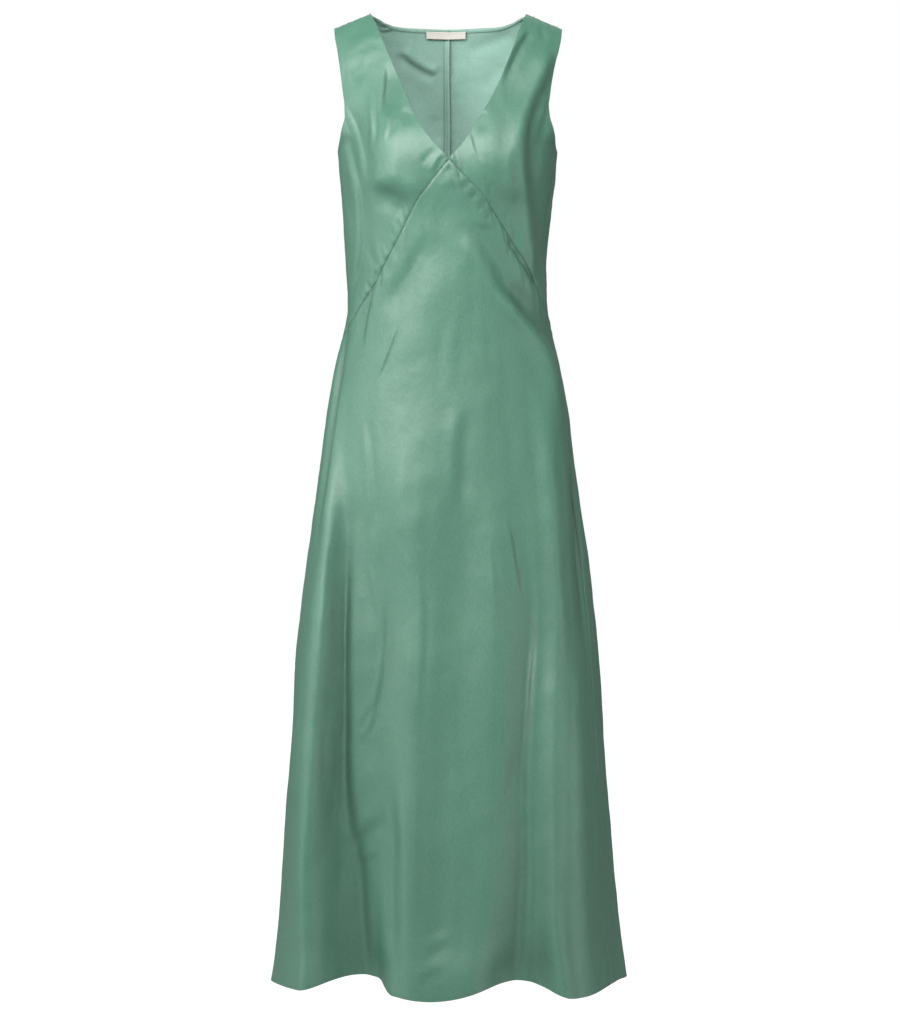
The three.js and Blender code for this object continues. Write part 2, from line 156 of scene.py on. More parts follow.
# The skirt's hang: ridges and valleys from the hips to the hem. Front lines are rows of (y, x, how far out, sharpness)
# in the view's pixels; the others are rows of (height, angle, how far out, sharpness).
FRONT_LINES = [
    [(430, 324, 0, 0), (520, 326, 3, .3), (560, 325, 4, .5), (620, 322, 5, .6), (700, 317, 7, .7), (780, 312, 8, .7), (860, 306, 9, .7), (930, 302, 9, .7), (978, 303, 8, .4)],
    [(400, 343, 0, .4), (470, 345, -1.5, .4), (520, 350, -5, .6), (560, 347, -8.5, .6), (620, 346, -13.5, .7), (700, 345, -17, .7), (780, 345, -20.5, .7), (820, 347, -23, .7), (860, 357, -30, .9), (930, 363, -38, 1.0), (978, 366, -43, .5)],
    [(400, 353, 0, 0), (470, 355, -0.6, 0), (520, 359, -2.6, 0), (560, 356, -4.0, 0), (620, 354, -6.0, 0), (700, 353, -9.5, 0), (780, 355, -12.5, 0), (820, 360, -15.5, 0), (860, 370, -21, .3), (930, 373, -28, .5), (960, 378, -33, .5), (978, 381, -37, .5)],
    [(420, 372, 0, 0), (470, 375, -0.8, .3), (520, 380, -2.6, .3), (560, 383, -5, .5), (620, 386, -8, .7), (700, 380, -11, .6), (740, 376, -13, .3), (780, 382, -13, .3), (860, 388, -13, .2), (930, 389, -12, .3), (960, 390, -8, .5), (978, 391, -2, .4)],
    [(420, 400, 0, 0), (520, 406, 3.5, 0), (560, 409, 4.5, 0), (620, 411, 5, 0), (700, 410, 6, 0), (780, 408, 8, 0), (860, 408, 9, .2), (930, 408, 10, .2), (978, 410, 12, 0)],
    [(420, 462, 0, .3), (470, 461, -2.4, .4), (520, 463, -5, .3), (560, 466, -6.5, .2), (620, 464, -7, .2), (700, 457, -6.5, .2), (780, 449, -5.5, .3), (860, 442, -5, .4), (930, 441, -4, .4), (978, 446, 6, 0)],
    [(430, 500, 0, 0), (520, 500, 1.6, 0), (560, 499, 1.0, 0), (620, 496, -0.5, 0), (700, 492, -2.5, .3), (780, 487, -3.5, .3), (860, 481, -3.5, .3), (930, 474, -2, .2), (978, 470, 7, 0)],
    [(420, 520, 0, .3), (480, 520, 0.5, .3), (520, 521, -0.6, .5), (560, 527, -2.4, .8), (620, 530, -5.5, 1.1), (700, 526, -9, 1.2), (780, 521, -11.5, 1.1), (860, 521, -15.5, 1.0), (930, 519, -21, .9), (978, 515, -30, .3)],
    [(440, 530, 0, 0), (520, 536, 2, 0), (560, 538, 2.5, 0), (620, 539, 2, 0), (700, 535, 1, 0), (780, 531, -1, 0), (860, 532, -5, 0), (930, 531, -10, .2), (978, 529, -25, 0)],
    [(380, 545, 0, 0), (430, 548, 4, 0), (480, 553, 7, 0), (520, 555, 8.5, 0), (560, 558, 10, 0), (620, 559, 10, .2), (700, 556, 11, .3), (780, 553, 12, .3), (860, 555, 13, .3), (930, 557, 13, .2), (978, 565, 13, 0)],
    [(380, 552, 0, 0), (480, 563, 4, 0), (560, 569, 6, 0), (620, 572, 7, .2), (700, 571, 7, .4), (780, 570, 7, .5), (860, 571, 7.5, .6), (930, 572, 7, .6), (978, 577, 9, .2)],
    [(380, 557, 0, 0), (480, 569, 1.5, 0), (560, 576, 2, 0), (620, 580, 5, 0), (700, 582, 9, 0), (860, 585, 10.5, .3), (930, 588, 10.5, .3), (978, 593, 11, 0)],
]
OTHER_LINES = [
    [(-560, 88, 0, 0), (-900, 84, -1, 0), (-1262, 79, -4, 0)],
    [(-620, 93, 0, 0), (-900, 95, 5, 0), (-1262, 92, 5, 0)],
    [(-600, 112, 0, .3), (-800, 113, -6, .7), (-1000, 111, -14, .9), (-1262, 109, -25, .5)],
    [(-560, 131, 0, 0), (-800, 133, 4, 0), (-1262, 131, 15, 0)],
    [(-520, 157, 0, .2), (-700, 160, -5, .7), (-900, 158, -13, 1.0), (-1262, 154, -28, .6)],
    [(-560, 172, 0, 0), (-800, 174, 3, 0), (-1000, 176, 7, 0), (-1262, 178, 10, 0)],
    [(-560, 186, 0, .3), (-800, 186, -1, .3), (-1000, 186, 3, .3), (-1262, 187, 7, 0)],
    [(-540, 206, 0, .3), (-700, 207, -6, .8), (-900, 205, -12, 1.0), (-1262, 203, -27, .6)],
    [(-560, 226, 0, 0), (-850, 228, 5, 0), (-1262, 227, 16, 0)],
    [(-560, 247, 0, .3), (-750, 249, -6, .8), (-1000, 250, -13, .9), (-1262, 250, -23, .5)],
    [(-600, 266, 0, 0), (-900, 266, 4, 0), (-1262, 268, 4, 0)],
]
# narrow valleys beside the hips' edges: rows of (height, angle, out, half width in degrees)
EDGES = [
    [[-520, 82, 0, 2.6], [-560, 79.5, -4, 2.8], [-590, 76.5, -8, 3], [-630, 73.5, -10, 3], [-708, 68.5, -10, 3.2],
     [-788, 66, -6.5, 3.5], [-893, 65, -4, 4.5], [-1262, 64, -2, 6]],
    [[-395, -78, 0, 3], [-430, -76, -5, 3], [-470, -74, -8, 3], [-540, -73.5, -8, 2.8], [-590, -71.5, -7, 2.6],
     [-650, -70.7, -4.5, 2.6], [-720, -70.5, 0, 2.6]],
    [[-480, 236, 0, 3], [-560, 238, -3, 3.4], [-660, 240, -4, 3.6], [-800, 244, 0, 4]],
]


def hang_map():
    """The hang, worked out once on a fine grid of height and angle."""
    z = np.arange(-1310, -330, 2.5)
    a = np.arange(-180, 180.1, 0.25)
    lines = []
    for rows in FRONT_LINES:
        r = np.array([(*from_view(y, x), h, k) for y, x, h, k in rows])
        lines.append(r)
    lines += [np.array(rows, float) for rows in OTHER_LINES]
    read = []
    for r in lines:
        zz = np.clip(z, r[:, 0].min(), r[:, 0].max())
        read.append([reader(r, k)(zz) for k in (1, 2, 3)])
    read = np.array(read)                                  # line, (angle, out, sharp), z
    out = np.zeros((len(z), len(a)))
    for i in range(len(z)):
        ang = (read[:, 0, i] + 180) % 360 - 180
        order = np.argsort(ang)
        ang, h, k = ang[order], read[order, 1, i], read[order, 2, i]
        ang = np.concatenate([[ang[-1] - 360], ang, [ang[0] + 360]])
        h, k = np.concatenate([[h[-1]], h, [h[0]]]), np.concatenate([[k[-1]], k, [k[0]]])
        j = np.clip(np.searchsorted(ang, a, side="right") - 1, 0, len(ang) - 2)
        t = (a - ang[j]) / np.maximum(ang[j + 1] - ang[j], 1e-6)
        dh = h[j + 1] - h[j]
        out[i] = h[j] + dh * (t * t * (3 - 2 * t) + k[j] * (t ** 3 - 2 * t * t + t) + k[j + 1] * (t ** 3 - t * t))
    w = np.exp(-0.5 * (np.arange(-10, 11) / 2.3) ** 2)     # soften across
    w /= w.sum()
    out = sum(w[n + 10] * np.roll(out[:, :-1], n, axis=1) for n in range(-10, 11))
    out = np.concatenate([out, out[:, :1]], 1)
    pad = np.pad(out, ((12, 12), (0, 0)), mode="edge")     # and down
    w = np.exp(-0.5 * (np.arange(-12, 13) / 5.0) ** 2)
    w /= w.sum()
    return z, a, sum(w[n] * pad[n:n + len(z)] for n in range(25))


HANG_Z, HANG_A, HANG = hang_map()


def flute(angle, z):
    angle, z = np.broadcast_arrays(np.asarray(angle, float), np.asarray(z, float))
    a = ((angle + 180) % 360) / 0.25
    r = np.clip((z - HANG_Z[0]) / 2.5, 0, len(HANG_Z) - 1.001)
    i, j = r.astype(int), np.minimum(a.astype(int), len(HANG_A) - 2)
    u, v = r - i, a - j
    out = (HANG[i, j] * (1 - u) * (1 - v) + HANG[i + 1, j] * u * (1 - v) + HANG[i, j + 1] * (1 - u) * v
           + HANG[i + 1, j + 1] * u * v) * smooth((-332 - z) / 70)
    for rows in EDGES:
        r = np.array(rows, float)
        c, o, w = [reader(r, k)(np.clip(z, r[-1, 0], r[0, 0])) for k in (1, 2, 3)]
        d = (angle - c + 180) % 360 - 180
        out = out + np.where(z > r[0, 0], 0, o) * np.exp(-0.5 * (d / w) ** 2)
    return out


# the big flutes beside the front, which stand forward: rows of (height, angle, how far, half width)
FORWARD = [
    [[-470, -72, 0, 9], [-560, -68, 12, 9], [-700, -64, 27, 9.5], [-880, -63, 37, 10], [-1060, -63, 41, 10.5],
     [-1262, -56, 36, 11], [-1340, -56, 36, 11]],
    [[-400, 66, 0, 9], [-560, 60, 6, 10], [-880, 53, 12, 10], [-1060, 51, 14, 10], [-1262, 47, 12, 11], [-1340, 47, 12, 11]],
]
FORWARD = [[reader(np.array(rows, float), k) for k in (1, 2, 3)] for rows in FORWARD]


def forward(angle, z):
    out = np.zeros(np.broadcast(angle, z).shape)
    for at, far, wide in FORWARD:
        out = out + far(z) * np.exp(-0.5 * (((angle - at(z) + 180) % 360 - 180) / wide(z)) ** 2)
    return out


def slope(drop):
    return np.exp(-(drop / 85.0) ** 2)


def surface(angle, root):
    """The outside of the cloth, with its flutes but no creases."""
    p = np.radians(angle)
    s, c = np.sin(p), np.cos(p)
    drop = root * root
    half = np.where(s < 0, half_l(drop), half_r(drop))
    deep = np.where(c > 0, deep_f(drop), deep_b(drop))
    x = half * s
    z = slope(drop) * (NECK_Z + (TIP_Z - NECK_Z) * (np.abs(x) - NECK_X) / (TIP_X - NECK_X)) - drop
    swell = np.clip(2 * c, 0, 1) * BUST_OUT * np.exp(-((z - BUST_Z) / BUST_HIGH) ** 2 / 2) * (
        np.exp(-((x - BUST_X) / BUST_WIDE) ** 2 / 2) + np.exp(-((x + BUST_X) / BUST_WIDE) ** 2 / 2))
    out = flute(angle, z)
    ax, ay = s / half, -c / np.maximum(deep, 1)
    ax = ax * (0.04 + 0.96 * smooth((0.56 - np.abs(c)) / 0.45))     # the front and back hang forward and back
    n = np.hypot(ax, ay)
    fill = 10 * np.exp(-0.5 * ((z + 352) / 62) ** 2) * np.clip(c, 0, 1) ** 1.5
    return np.stack([x + out * ax / n, -deep * c - swell - fill + out * ay / n - forward(angle, z), z], -1)


def root_of(angle, z):
    low, high = np.zeros(np.shape(z)), np.full(np.shape(z), 38.0)
    s = np.sin(np.radians(angle))
    for _ in range(26):
        mid = (low + high) / 2
        drop = mid * mid
        x = np.where(s < 0, half_l(drop), half_r(drop)) * s
        h = slope(drop) * (NECK_Z + (TIP_Z - NECK_Z) * (np.abs(x) - NECK_X) / (TIP_X - NECK_X)) - drop
        above = h > z
        low, high = np.where(above, mid, low), np.where(above, high, mid)
    return (low + high) / 2


def angle_of_x(x, z):
    drop = np.maximum(slope(-z) * (NECK_Z + (TIP_Z - NECK_Z) * (np.abs(x) - NECK_X) / (TIP_X - NECK_X)) - z, 0)
    return np.degrees(np.arcsin(np.clip(x / np.where(x < 0, half_l(drop), half_r(drop)), -1, 1)))


def outward(angle, root):
    e = 0.03
    round_ = surface(angle + 0.15, root) - surface(angle - 0.15, root)
    down = surface(angle, root + e) - surface(angle, np.maximum(root - e, 0))
    n = np.cross(down, round_)
    return n / np.linalg.norm(n, axis=-1, keepdims=True)


# ---------------------------------------------------------------- folds
def curve(points, steps=12):
    """A smooth line through points of any number of columns."""
    p = np.array(points, float)
    p = np.vstack([2 * p[0] - p[1], p, 2 * p[-1] - p[-2]])
    out = []
    for i in range(1, len(p) - 2):
        t = np.linspace(0, 1, steps, endpoint=False)[:, None]
        a, b, c, d = p[i - 1:i + 3]
        out.append(0.5 * (2 * b + (c - a) * t + (2 * a - 5 * b + 4 * c - d) * t * t + (3 * b - a - 3 * c + d) * t ** 3))
    return np.vstack(out + [p[-2:-1]])


def fold(q, points, depth, width, kind="soft", ends=(0.25, 0.25)):
    """How far a fold along a line moves the cloth in, at places q. Width is half the fold's, in the line's units."""
    line = curve(points)
    reach = (16 if kind == "terrace" else 5) * width
    lo, hi = line.min(0) - reach, line.max(0) + reach
    near = np.all((q >= lo) & (q <= hi), axis=-1)
    out = np.zeros(q.shape[:-1])
    if not near.any():
        return out
    p = q[near]
    best, along, sign = np.full(len(p), 1e9), np.zeros(len(p)), np.ones(len(p))
    seg = np.linalg.norm(np.diff(line, axis=0), axis=1)
    start = np.concatenate([[0], np.cumsum(seg)])
    for i in range(len(line) - 1):
        a, v = line[i], line[i + 1] - line[i]
        t = ((p - a) @ v) / max(v @ v, 1e-9)
        tc = np.clip(t, 0, 1)
        d = p - a - tc[:, None] * v
        r = np.hypot(d[:, 0], d[:, 1])
        hit = r < best
        best = np.where(hit, r, best)
        along = np.where(hit, start[i] + tc * seg[i], along)
        sign = np.where(hit, np.sign(v[0] * d[:, 1] - v[1] * d[:, 0]), sign)
    s = along / start[-1]
    fade = smooth(s / max(ends[0], 1e-3)) * smooth((1 - s) / max(ends[1], 1e-3)) if ends else 1.0
    x = best / width
    if kind == "soft":
        v = np.exp(-0.5 * x * x)
    elif kind == "crease":       # a tight line with wide shoulders
        v = 0.55 * np.exp(-0.5 * (x / 0.5) ** 2) + 0.45 * np.exp(-0.5 * (x / 1.5) ** 2)
    elif kind == "step":         # high on the one side, low on the other
        v = -sign * x * np.exp(-0.5 * x * x) * 1.65
    elif kind == "drop":         # steep on the left of a line that runs down, gentle on its right
        v = np.exp(-0.5 * (x / np.where(sign > 0, 1.0, 2.6)) ** 2)
    elif kind == "terrace":      # steep on the left of a line that runs down, and very slow to come back on its right
        v = np.exp(-0.5 * (x / np.where(sign > 0, 1.0, 5.0)) ** 2)
    elif kind == "lap":          # gentle on the left of a line that runs down, sharp on its right
        v = np.exp(-0.5 * (x / np.where(sign > 0, 1.5, 0.55)) ** 2)
    else:                        # "pleat": a trough with a ridge beside it
        v = np.exp(-0.5 * x * x) - 0.7 * np.exp(-0.5 * ((sign * x - 2.2) / 1.1) ** 2)
    out[near] = depth * fade * v
    return out


# ---------------------------------------------------------------- folds, placed one by one
# [where, on, kind, depth, half width, ends, points]: where is "front" or "back" for places in that view's
# pixels, or "round" for angle and height. Positive depths are troughs, and a "step" drops to the right of a line
# that runs down.
FOLDS = [
    # left bodice (the viewer's left)
    ("front", "bodice", "step", -1.4, 6.5, (0.35, 0.35), [(381, 25), (369, 33), (355, 40), (343, 42)]),
    ("front", "bodice", "step", -0.8, 5.5, (0.35, 0.35), [(380, 42), (368, 50), (354, 56)]),
    ("front", "bodice", "terrace", 1.8, 1.9, (0.4, 0.45), [(348, 58), (351, 66), (354, 76), (357, 90)]),
    ("front", "bodice", "terrace", 4.4, 2.2, (0.35, 0.35), [(389, 58), (388, 72), (387, 86), (385, 101), (382, 118)]),
    ("front", "bodice", "terrace", 1.5, 1.8, (0.35, 0.5), [(408, 105), (405, 111), (404, 118), (403, 128)]),
    ("front", "bodice", "step", 1.1, 2.6, (0.35, 0.4), [(371, 92), (373, 112), (373, 130), (371, 152)]),
    ("front", "bodice", "step", 0.77, 1.8, (0.3, 0.4), [(390, 108), (389, 124), (385, 144)]),
    ("front", "bodice", "soft", 0.51, 1.6, (0.3, 0.4), [(397, 106), (396, 120), (391, 138)]),
    ("front", "bodice", "terrace", 3.4, 2.2, (0.25, 0.35), [(346, 98), (351, 114), (356, 130), (361, 148), (364, 168), (365, 188)]),
    ("front", "bodice", "terrace", 4.4, 2.1, (0.14, 0.18), [(344, 104), (347, 128), (349, 148), (353, 166), (358, 185), (361, 208), (362, 232), (361, 252), (357, 270), (353, 287), (349, 305)]),
    ("front", "bodice", "step", 4.0, 11.0, (0.35, 0.35), [(422, 208), (404, 196), (390, 190), (364, 189)]),
    ("front", "bodice", "step", 0.7, 7.5, (0.35, 0.35), [(366, 186), (382, 202), (395, 220), (400, 240)]),
    ("front", "bodice", "step", 1.36, 2.6, (0.3, 0.3), [(446, 152), (438, 162), (432, 176)]),
    ("front", "bodice", "soft", 1.02, 2.4, (0.3, 0.3), [(436, 148), (428, 156), (420, 166)]),
    ("front", "bodice", "soft", 1.02, 2.4, (0.3, 0.5), [(378, 268), (371, 258), (366, 244)]),
    ("front", "bodice", "soft", 1.53, 1.6, (0.1, 0.6), [(369, 292), (366, 286), (364, 278)]),
    ("front", "bodice", "soft", 0.85, 1.6, (0.1, 0.6), [(360, 306), (358, 298), (357, 290)]),
    ("front", "bodice", "soft", 0.77, 1.5, (0.1, 0.6), [(388, 252), (383, 244), (380, 236)]),
    ("front", "bodice", "soft", 0.68, 1.5, (0.1, 0.6), [(400, 228), (394, 222), (390, 214)]),
    # right bodice
    ("front", "bodice", "step", 2.02, 3.6, (0.15, 0.45), [(530, 30), (519, 44), (511, 60), (505, 76), (501, 92)]),
    ("front", "bodice", "soft", 1.19, 2.6, (0.3, 0.4), [(541, 24), (543, 34), (548, 44)]),
    ("front", "bodice", "step", 5.6, 8.5, (0.1, 0.15), [(557, 46), (549, 74), (540, 94), (532, 113), (528, 134), (527, 158), (529, 185), (533, 215), (537, 248), (540, 286)]),
    ("front", "bodice", "step", 2.0, 4.4, (0.25, 0.35), [(553, 88), (548, 108), (542, 128), (538, 152)]),
    ("front", "bodice", "step", 1.53, 4.5, (0.35, 0.35), [(512, 140), (512, 178), (517, 222)]),
    ("front", "bodice", "step", 1.2, 10.0, (0.4, 0.4), [(540, 208), (516, 196), (490, 190)]),
    ("front", "bodice", "soft", 1.02, 3.0, (0.15, 0.5), [(482, 110), (482, 122), (479, 136)]),
    ("front", "bodice", "step", 0.85, 1.8, (0.3, 0.4), [(470, 128), (474, 146), (482, 166)]),
    ("front", "bodice", "soft", 0.85, 1.4, (0.1, 0.6), [(488, 194), (492, 186), (497, 180)]),
    ("front", "bodice", "soft", 0.68, 1.4, (0.1, 0.6), [(502, 222), (507, 214), (510, 206)]),
    # front skirt, under the diagonal seams
    ("front", "skirt", "step", 2.6, 9.0, (0.35, 0.35), [(456, 226), (470, 238), (484, 256), (496, 272), (508, 288)]),
    ("front", "skirt", "step", 6.4, 8.2, (0.3, 0.35), [(480, 262), (492, 278), (508, 296), (524, 314), (540, 334), (553, 354), (560, 376), (565, 404), (569, 440)]),
    ("front", "skirt", "soft", -1.7, 5.5, (0.35, 0.3), [(500, 240), (512, 256), (526, 276), (540, 298), (552, 322)]),
    ("front", "skirt", "drop", 4.2, 6.5, (0.3, 0.4), [(432, 226), (425, 246), (415, 264), (404, 282), (393, 302), (385, 326)]),
    ("front", "skirt", "lap", 4.16, 2.4, (0.05, 0.35), [(376, 270), (372, 288), (367, 304), (363, 324), (360, 350)]),
    ("front", "skirt", "lap", 2.7, 1.5, (0.1, 0.5), [(381, 266), (380, 279), (378, 296)]),
    ("front", "skirt", "lap", 2.4, 1.5, (0.1, 0.5), [(387, 256), (389, 266), (389, 280)]),
    ("front", "skirt", "lap", 1.79, 1.4, (0.1, 0.6), [(394, 242), (396, 252), (395, 262)]),
    ("front", "skirt", "soft", 1.72, 3.0, (0.1, 0.4), [(366, 292), (361, 308), (354, 330)]),
    ("front", "skirt", "step", 0.87, 1.5, (0.3, 0.3), [(399, 322), (391, 346), (384, 364), (377, 384)]),
    ("front", "skirt", "soft", 2.53, 1.5, (0.4, 0.1), [(503, 228), (511, 243), (520, 258), (529, 273), (537, 288)]),
    ("front", "bodice", "soft", 3.1, 1.4, (0.4, 0.1), [(503, 228), (511, 243), (520, 258), (529, 273), (537, 288)]),
    ("front", "skirt", "soft", 1.72, 1.5, (0.1, 0.6), [(461, 172), (458, 177), (452, 182)]),
    ("front", "skirt", "soft", 1.97, 1.5, (0.1, 0.6), [(470, 181), (465, 186), (458, 190)]),
    ("front", "skirt", "soft", 2.32, 1.5, (0.1, 0.6), [(478, 190), (473, 195), (466, 202)]),
    ("front", "skirt", "soft", 2.21, 1.4, (0.1, 0.6), [(485, 199), (481, 206), (476, 214)]),
    ("front", "skirt", "soft", 1.97, 1.4, (0.1, 0.6), [(492, 209), (488, 216), (482, 222)]),
    ("front", "skirt", "step", 0.58, 3.2, (0.35, 0.35), [(496, 224), (486, 226), (474, 224)]),
    ("front", "skirt", "soft", 1.86, 1.4, (0.1, 0.6), [(511, 240), (510, 250), (507, 258)]),
    ("front", "skirt", "soft", 1.62, 1.4, (0.1, 0.6), [(423, 190), (424, 196), (428, 203)]),
    # front skirt, further down
    ("front", "skirt", "step", 1.84, 6.5, (0.3, 0.3), [(462, 404), (459, 436), (457, 470), (460, 510)]),
    ("front", "skirt", "step", 1.16, 3.4, (0.3, 0.4), [(362, 404), (368, 446), (372, 496), (374, 560)]),
    ("front", "skirt", "step", -1.01, 2.2, (0.3, 0.3), [(366, 560), (371, 585), (376, 610), (379, 640)]),
    ("front", "skirt", "step", 1.3, 2.6, (0.3, 0.4), [(384, 590), (386, 630), (383, 670), (376, 706), (368, 740)]),
    ("front", "skirt", "step", 0.58, 1.6, (0.3, 0.3), [(374, 700), (366, 714), (358, 728)]),
    ("front", "skirt", "step", 0.58, 1.6, (0.3, 0.3), [(378, 712), (370, 728), (362, 742)]),
    ("front", "skirt", "step", 1.01, 2.6, (0.3, 0.4), [(507, 512), (513, 545), (519, 580), (526, 612)]),
    ("front", "skirt", "step", 0.72, 2.6, (0.3, 0.4), [(490, 540), (496, 585), (500, 630)]),
    ("front", "skirt", "step", 0.87, 2.8, (0.3, 0.3), [(420, 560), (424, 620), (422, 680), (419, 740)]),
    ("front", "skirt", "step", 1.01, 3.0, (0.3, 0.3), [(419, 760), (420, 810), (419, 860), (417, 920)]),
    ("front", "skirt", "step", 0.72, 2.0, (0.3, 0.3), [(391, 800), (392, 840), (389, 880), (388, 930)]),
    ("front", "skirt", "step", -0.6, 3.6, (0.35, 0.35), [(448, 850), (450, 890), (451, 930)]),
    ("front", "skirt", "soft", -1.3, 4.2, (0.35, 0.35), [(432, 184), (450, 181), (472, 174)]),
    ("front", "skirt", "lap", 1.44, 2.4, (0.3, 0.3), [(454, 163), (449, 169), (442, 171)]),
    ("front", "skirt", "soft", 1.74, 5.0, (0.3, 0.4), [(515, 742), (512, 780), (502, 820), (488, 850)]),
    ("front", "skirt", "step", 1.6, 6.0, (0.35, 0.35), [(382, 812), (366, 828), (346, 846)]),
    ("front", "skirt", "step", 0.87, 3.0, (0.3, 0.3), [(380, 852), (368, 858), (356, 862)]),
    ("front", "skirt", "step", 1.0, 3.8, (0.3, 0.3), [(452, 940), (438, 946), (422, 954)]),
    ("front", "skirt", "step", 1.3, 3.4, (0.3, 0.3), [(446, 966), (430, 974), (414, 980)]),
    ("front", "skirt", "step", -0.6, 3.6, (0.35, 0.35), [(452, 928), (440, 934), (424, 942)]),
    # the back's inside, as it shows through the neck
    ("front", "back", "step", 2.6, 3.9, (0.2, 0.15), [(400, 50), (409, 60), (421, 68), (431, 73), (438, 76)]),
    ("front", "back", "soft", 0.7, 5.0, (0.3, 0.3), [(404, 42), (416, 52), (432, 62)]),
    ("front", "back", "soft", -2.2, 5.0, (0.3, 0.2), [(464, 56), (480, 47), (496, 41), (516, 33)]),
    ("front", "back", "soft", -1.6, 7.0, (0.3, 0.3), [(505, 60), (494, 76), (478, 92)]),
    ("front", "back", "soft", 1.2, 6.0, (0.3, 0.3), [(470, 62), (458, 78), (452, 100)]),
    ("front", "back", "soft", -1.1, 7.0, (0.3, 0.3), [(400, 74), (414, 88), (428, 108)]),
    ("front", "back", "soft", -1.6, 4.0, (0.3, 0.3), [(436, 112), (436, 128), (440, 146)]),
    ("front", "back", "step", 1.1, 1.7, (0.2, 0.35), [(379, 31), (386, 31), (393, 29)]),
    ("front", "back", "step", 0.9, 1.5, (0.2, 0.35), [(378, 25), (383, 25.5), (388, 24.5)]),
    ("front", "back", "soft", -0.6, 2.0, (0.3, 0.35), [(414, 34), (419, 46), (428, 60)]),
    # the back, which the view doesn't show
    ("back", "back", "step", 2.2, 5.5, (0.2, 0.35), [(350, 58), (368, 90), (390, 118), (412, 140)]),
    ("back", "back", "step", -2.0, 5.2, (0.2, 0.35), [(549, 56), (532, 86), (509, 114), (484, 138)]),
    ("back", "back_left", "soft", 1.1, 4.0, (0.2, 0.4), [(378, 44), (392, 66), (408, 84)]),
    ("back", "back_right", "soft", 0.9, 4.0, (0.2, 0.4), [(518, 40), (506, 60), (488, 82)]),
    ("back", "back_left", "drop", 2.3, 2.6, (0.08, 0.3), [(346, 108), (352, 136), (357, 166), (361, 200), (361, 236)]),
    ("back", "back_left", "step", 1.4, 3.4, (0.15, 0.4), [(352, 150), (364, 176), (372, 208), (376, 244)]),
    ("back", "back_right", "step", -2.2, 3.0, (0.08, 0.3), [(552, 110), (545, 140), (539, 172), (535, 208), (535, 240)]),
    ("back", "back_right", "soft", 1.0, 3.4, (0.15, 0.4), [(546, 156), (534, 184), (524, 214)]),
    ("back", "back", "step", -2.4, 7.5, (0.2, 0.2), [(352, 288), (382, 300), (416, 307), (449, 306), (486, 309), (520, 300), (546, 288)]),
    ("back", "back", "step", -1.5, 5.5, (0.3, 0.3), [(372, 326), (404, 334), (440, 336), (478, 334), (510, 328)]),
    ("back", "back_left", "step", 1.4, 4.0, (0.25, 0.35), [(350, 300), (366, 318), (384, 330), (404, 350)]),
    ("back", "back_right", "step", -1.2, 4.2, (0.25, 0.35), [(548, 296), (534, 316), (512, 332), (496, 354)]),
    ("back", "back_left", "step", 1.0, 3.2, (0.3, 0.3), [(398, 380), (399, 440), (394, 520), (388, 600)]),
    ("back", "back_left", "step", -0.8, 3.0, (0.3, 0.3), [(352, 430), (350, 500), (346, 580), (342, 660)]),
    ("back", "back_right", "step", -1.0, 3.4, (0.3, 0.3), [(502, 372), (506, 440), (512, 520), (520, 610)]),
    ("back", "back_right", "step", 0.8, 3.0, (0.3, 0.3), [(474, 560), (476, 640), (470, 720)]),
    ("back", "back_left", "step", 1.3, 4.0, (0.3, 0.3), [(430, 800), (414, 824), (396, 840)]),
    ("back", "back_right", "step", 1.2, 4.0, (0.3, 0.3), [(540, 820), (524, 840), (500, 856)]),
    ("round", "all", "step", 1.3, 7.0, (0.2, 0.4), [(84, -196), (80, -235), (78, -280)]),
    ("round", "all", "step", -1.2, 7.0, (0.2, 0.4), [(98, -196), (103, -235), (106, -285)]),
    ("round", "all", "step", 1.2, 7.0, (0.2, 0.4), [(262, -200), (257, -240), (253, -290)]),
    ("round", "all", "soft", 0.9, 7.0, (0.3, 0.3), [(80, -372), (92, -384), (104, -380)]),
    ("round", "all", "soft", 0.9, 7.0, (0.3, 0.3), [(256, -376), (268, -386), (282, -378)]),
]


def seeded_noise(seed, waves, shortest, longest, stretch=(1, 1, 1)):
    """A smooth, repeatable unevenness through space, about -1 to 1."""
    rng = np.random.RandomState(seed)
    k = rng.normal(size=(waves, 3))
    k /= np.linalg.norm(k, axis=1, keepdims=True)
    k = k * (2 * np.pi / np.exp(rng.uniform(np.log(shortest), np.log(longest), waves)))[:, None] / np.array(stretch)
    shift = rng.uniform(0, 2 * np.pi, waves)
    return lambda p: np.sin(p @ k.T + shift).sum(-1) / math.sqrt(waves / 2) / 1.6


def pucker_noise(seed, shortest, longest):
    rng = np.random.RandomState(seed)
    k = 2 * np.pi / np.exp(rng.uniform(np.log(shortest), np.log(longest), 9))
    shift, slow = rng.uniform(0, 2 * np.pi, 9), rng.uniform(0, 2 * np.pi, 3)

    def read(s):
        v = np.sin(s[..., None] * k + shift).sum(-1) / 3.2
        w = 0.62 + 0.38 * np.sin(s / 31 + slow[0]) * np.sin(s / 17 + slow[1])
        return v * w
    return read


broad = seeded_noise(3, 22, 70, 190, (1, 1, 1.9))
middling = seeded_noise(5, 26, 26, 60, (1, 1, 1.6))
streaky = seeded_noise(11, 46, 17, 46, (1, 1, 8))
crumpled = seeded_noise(13, 60, 9, 24, (1, 1, 1.4))
patchy = seeded_noise(17, 18, 60, 150)


# seams, as lines on the form: name -> points every few millimetres, with the length along them
def line3(angle, z=None, root=None):
    p = surface(angle, root_of(angle, z) if root is None else root)
    s = np.concatenate([[0], np.cumsum(np.linalg.norm(np.diff(p, axis=0), axis=1))])
    return p, s


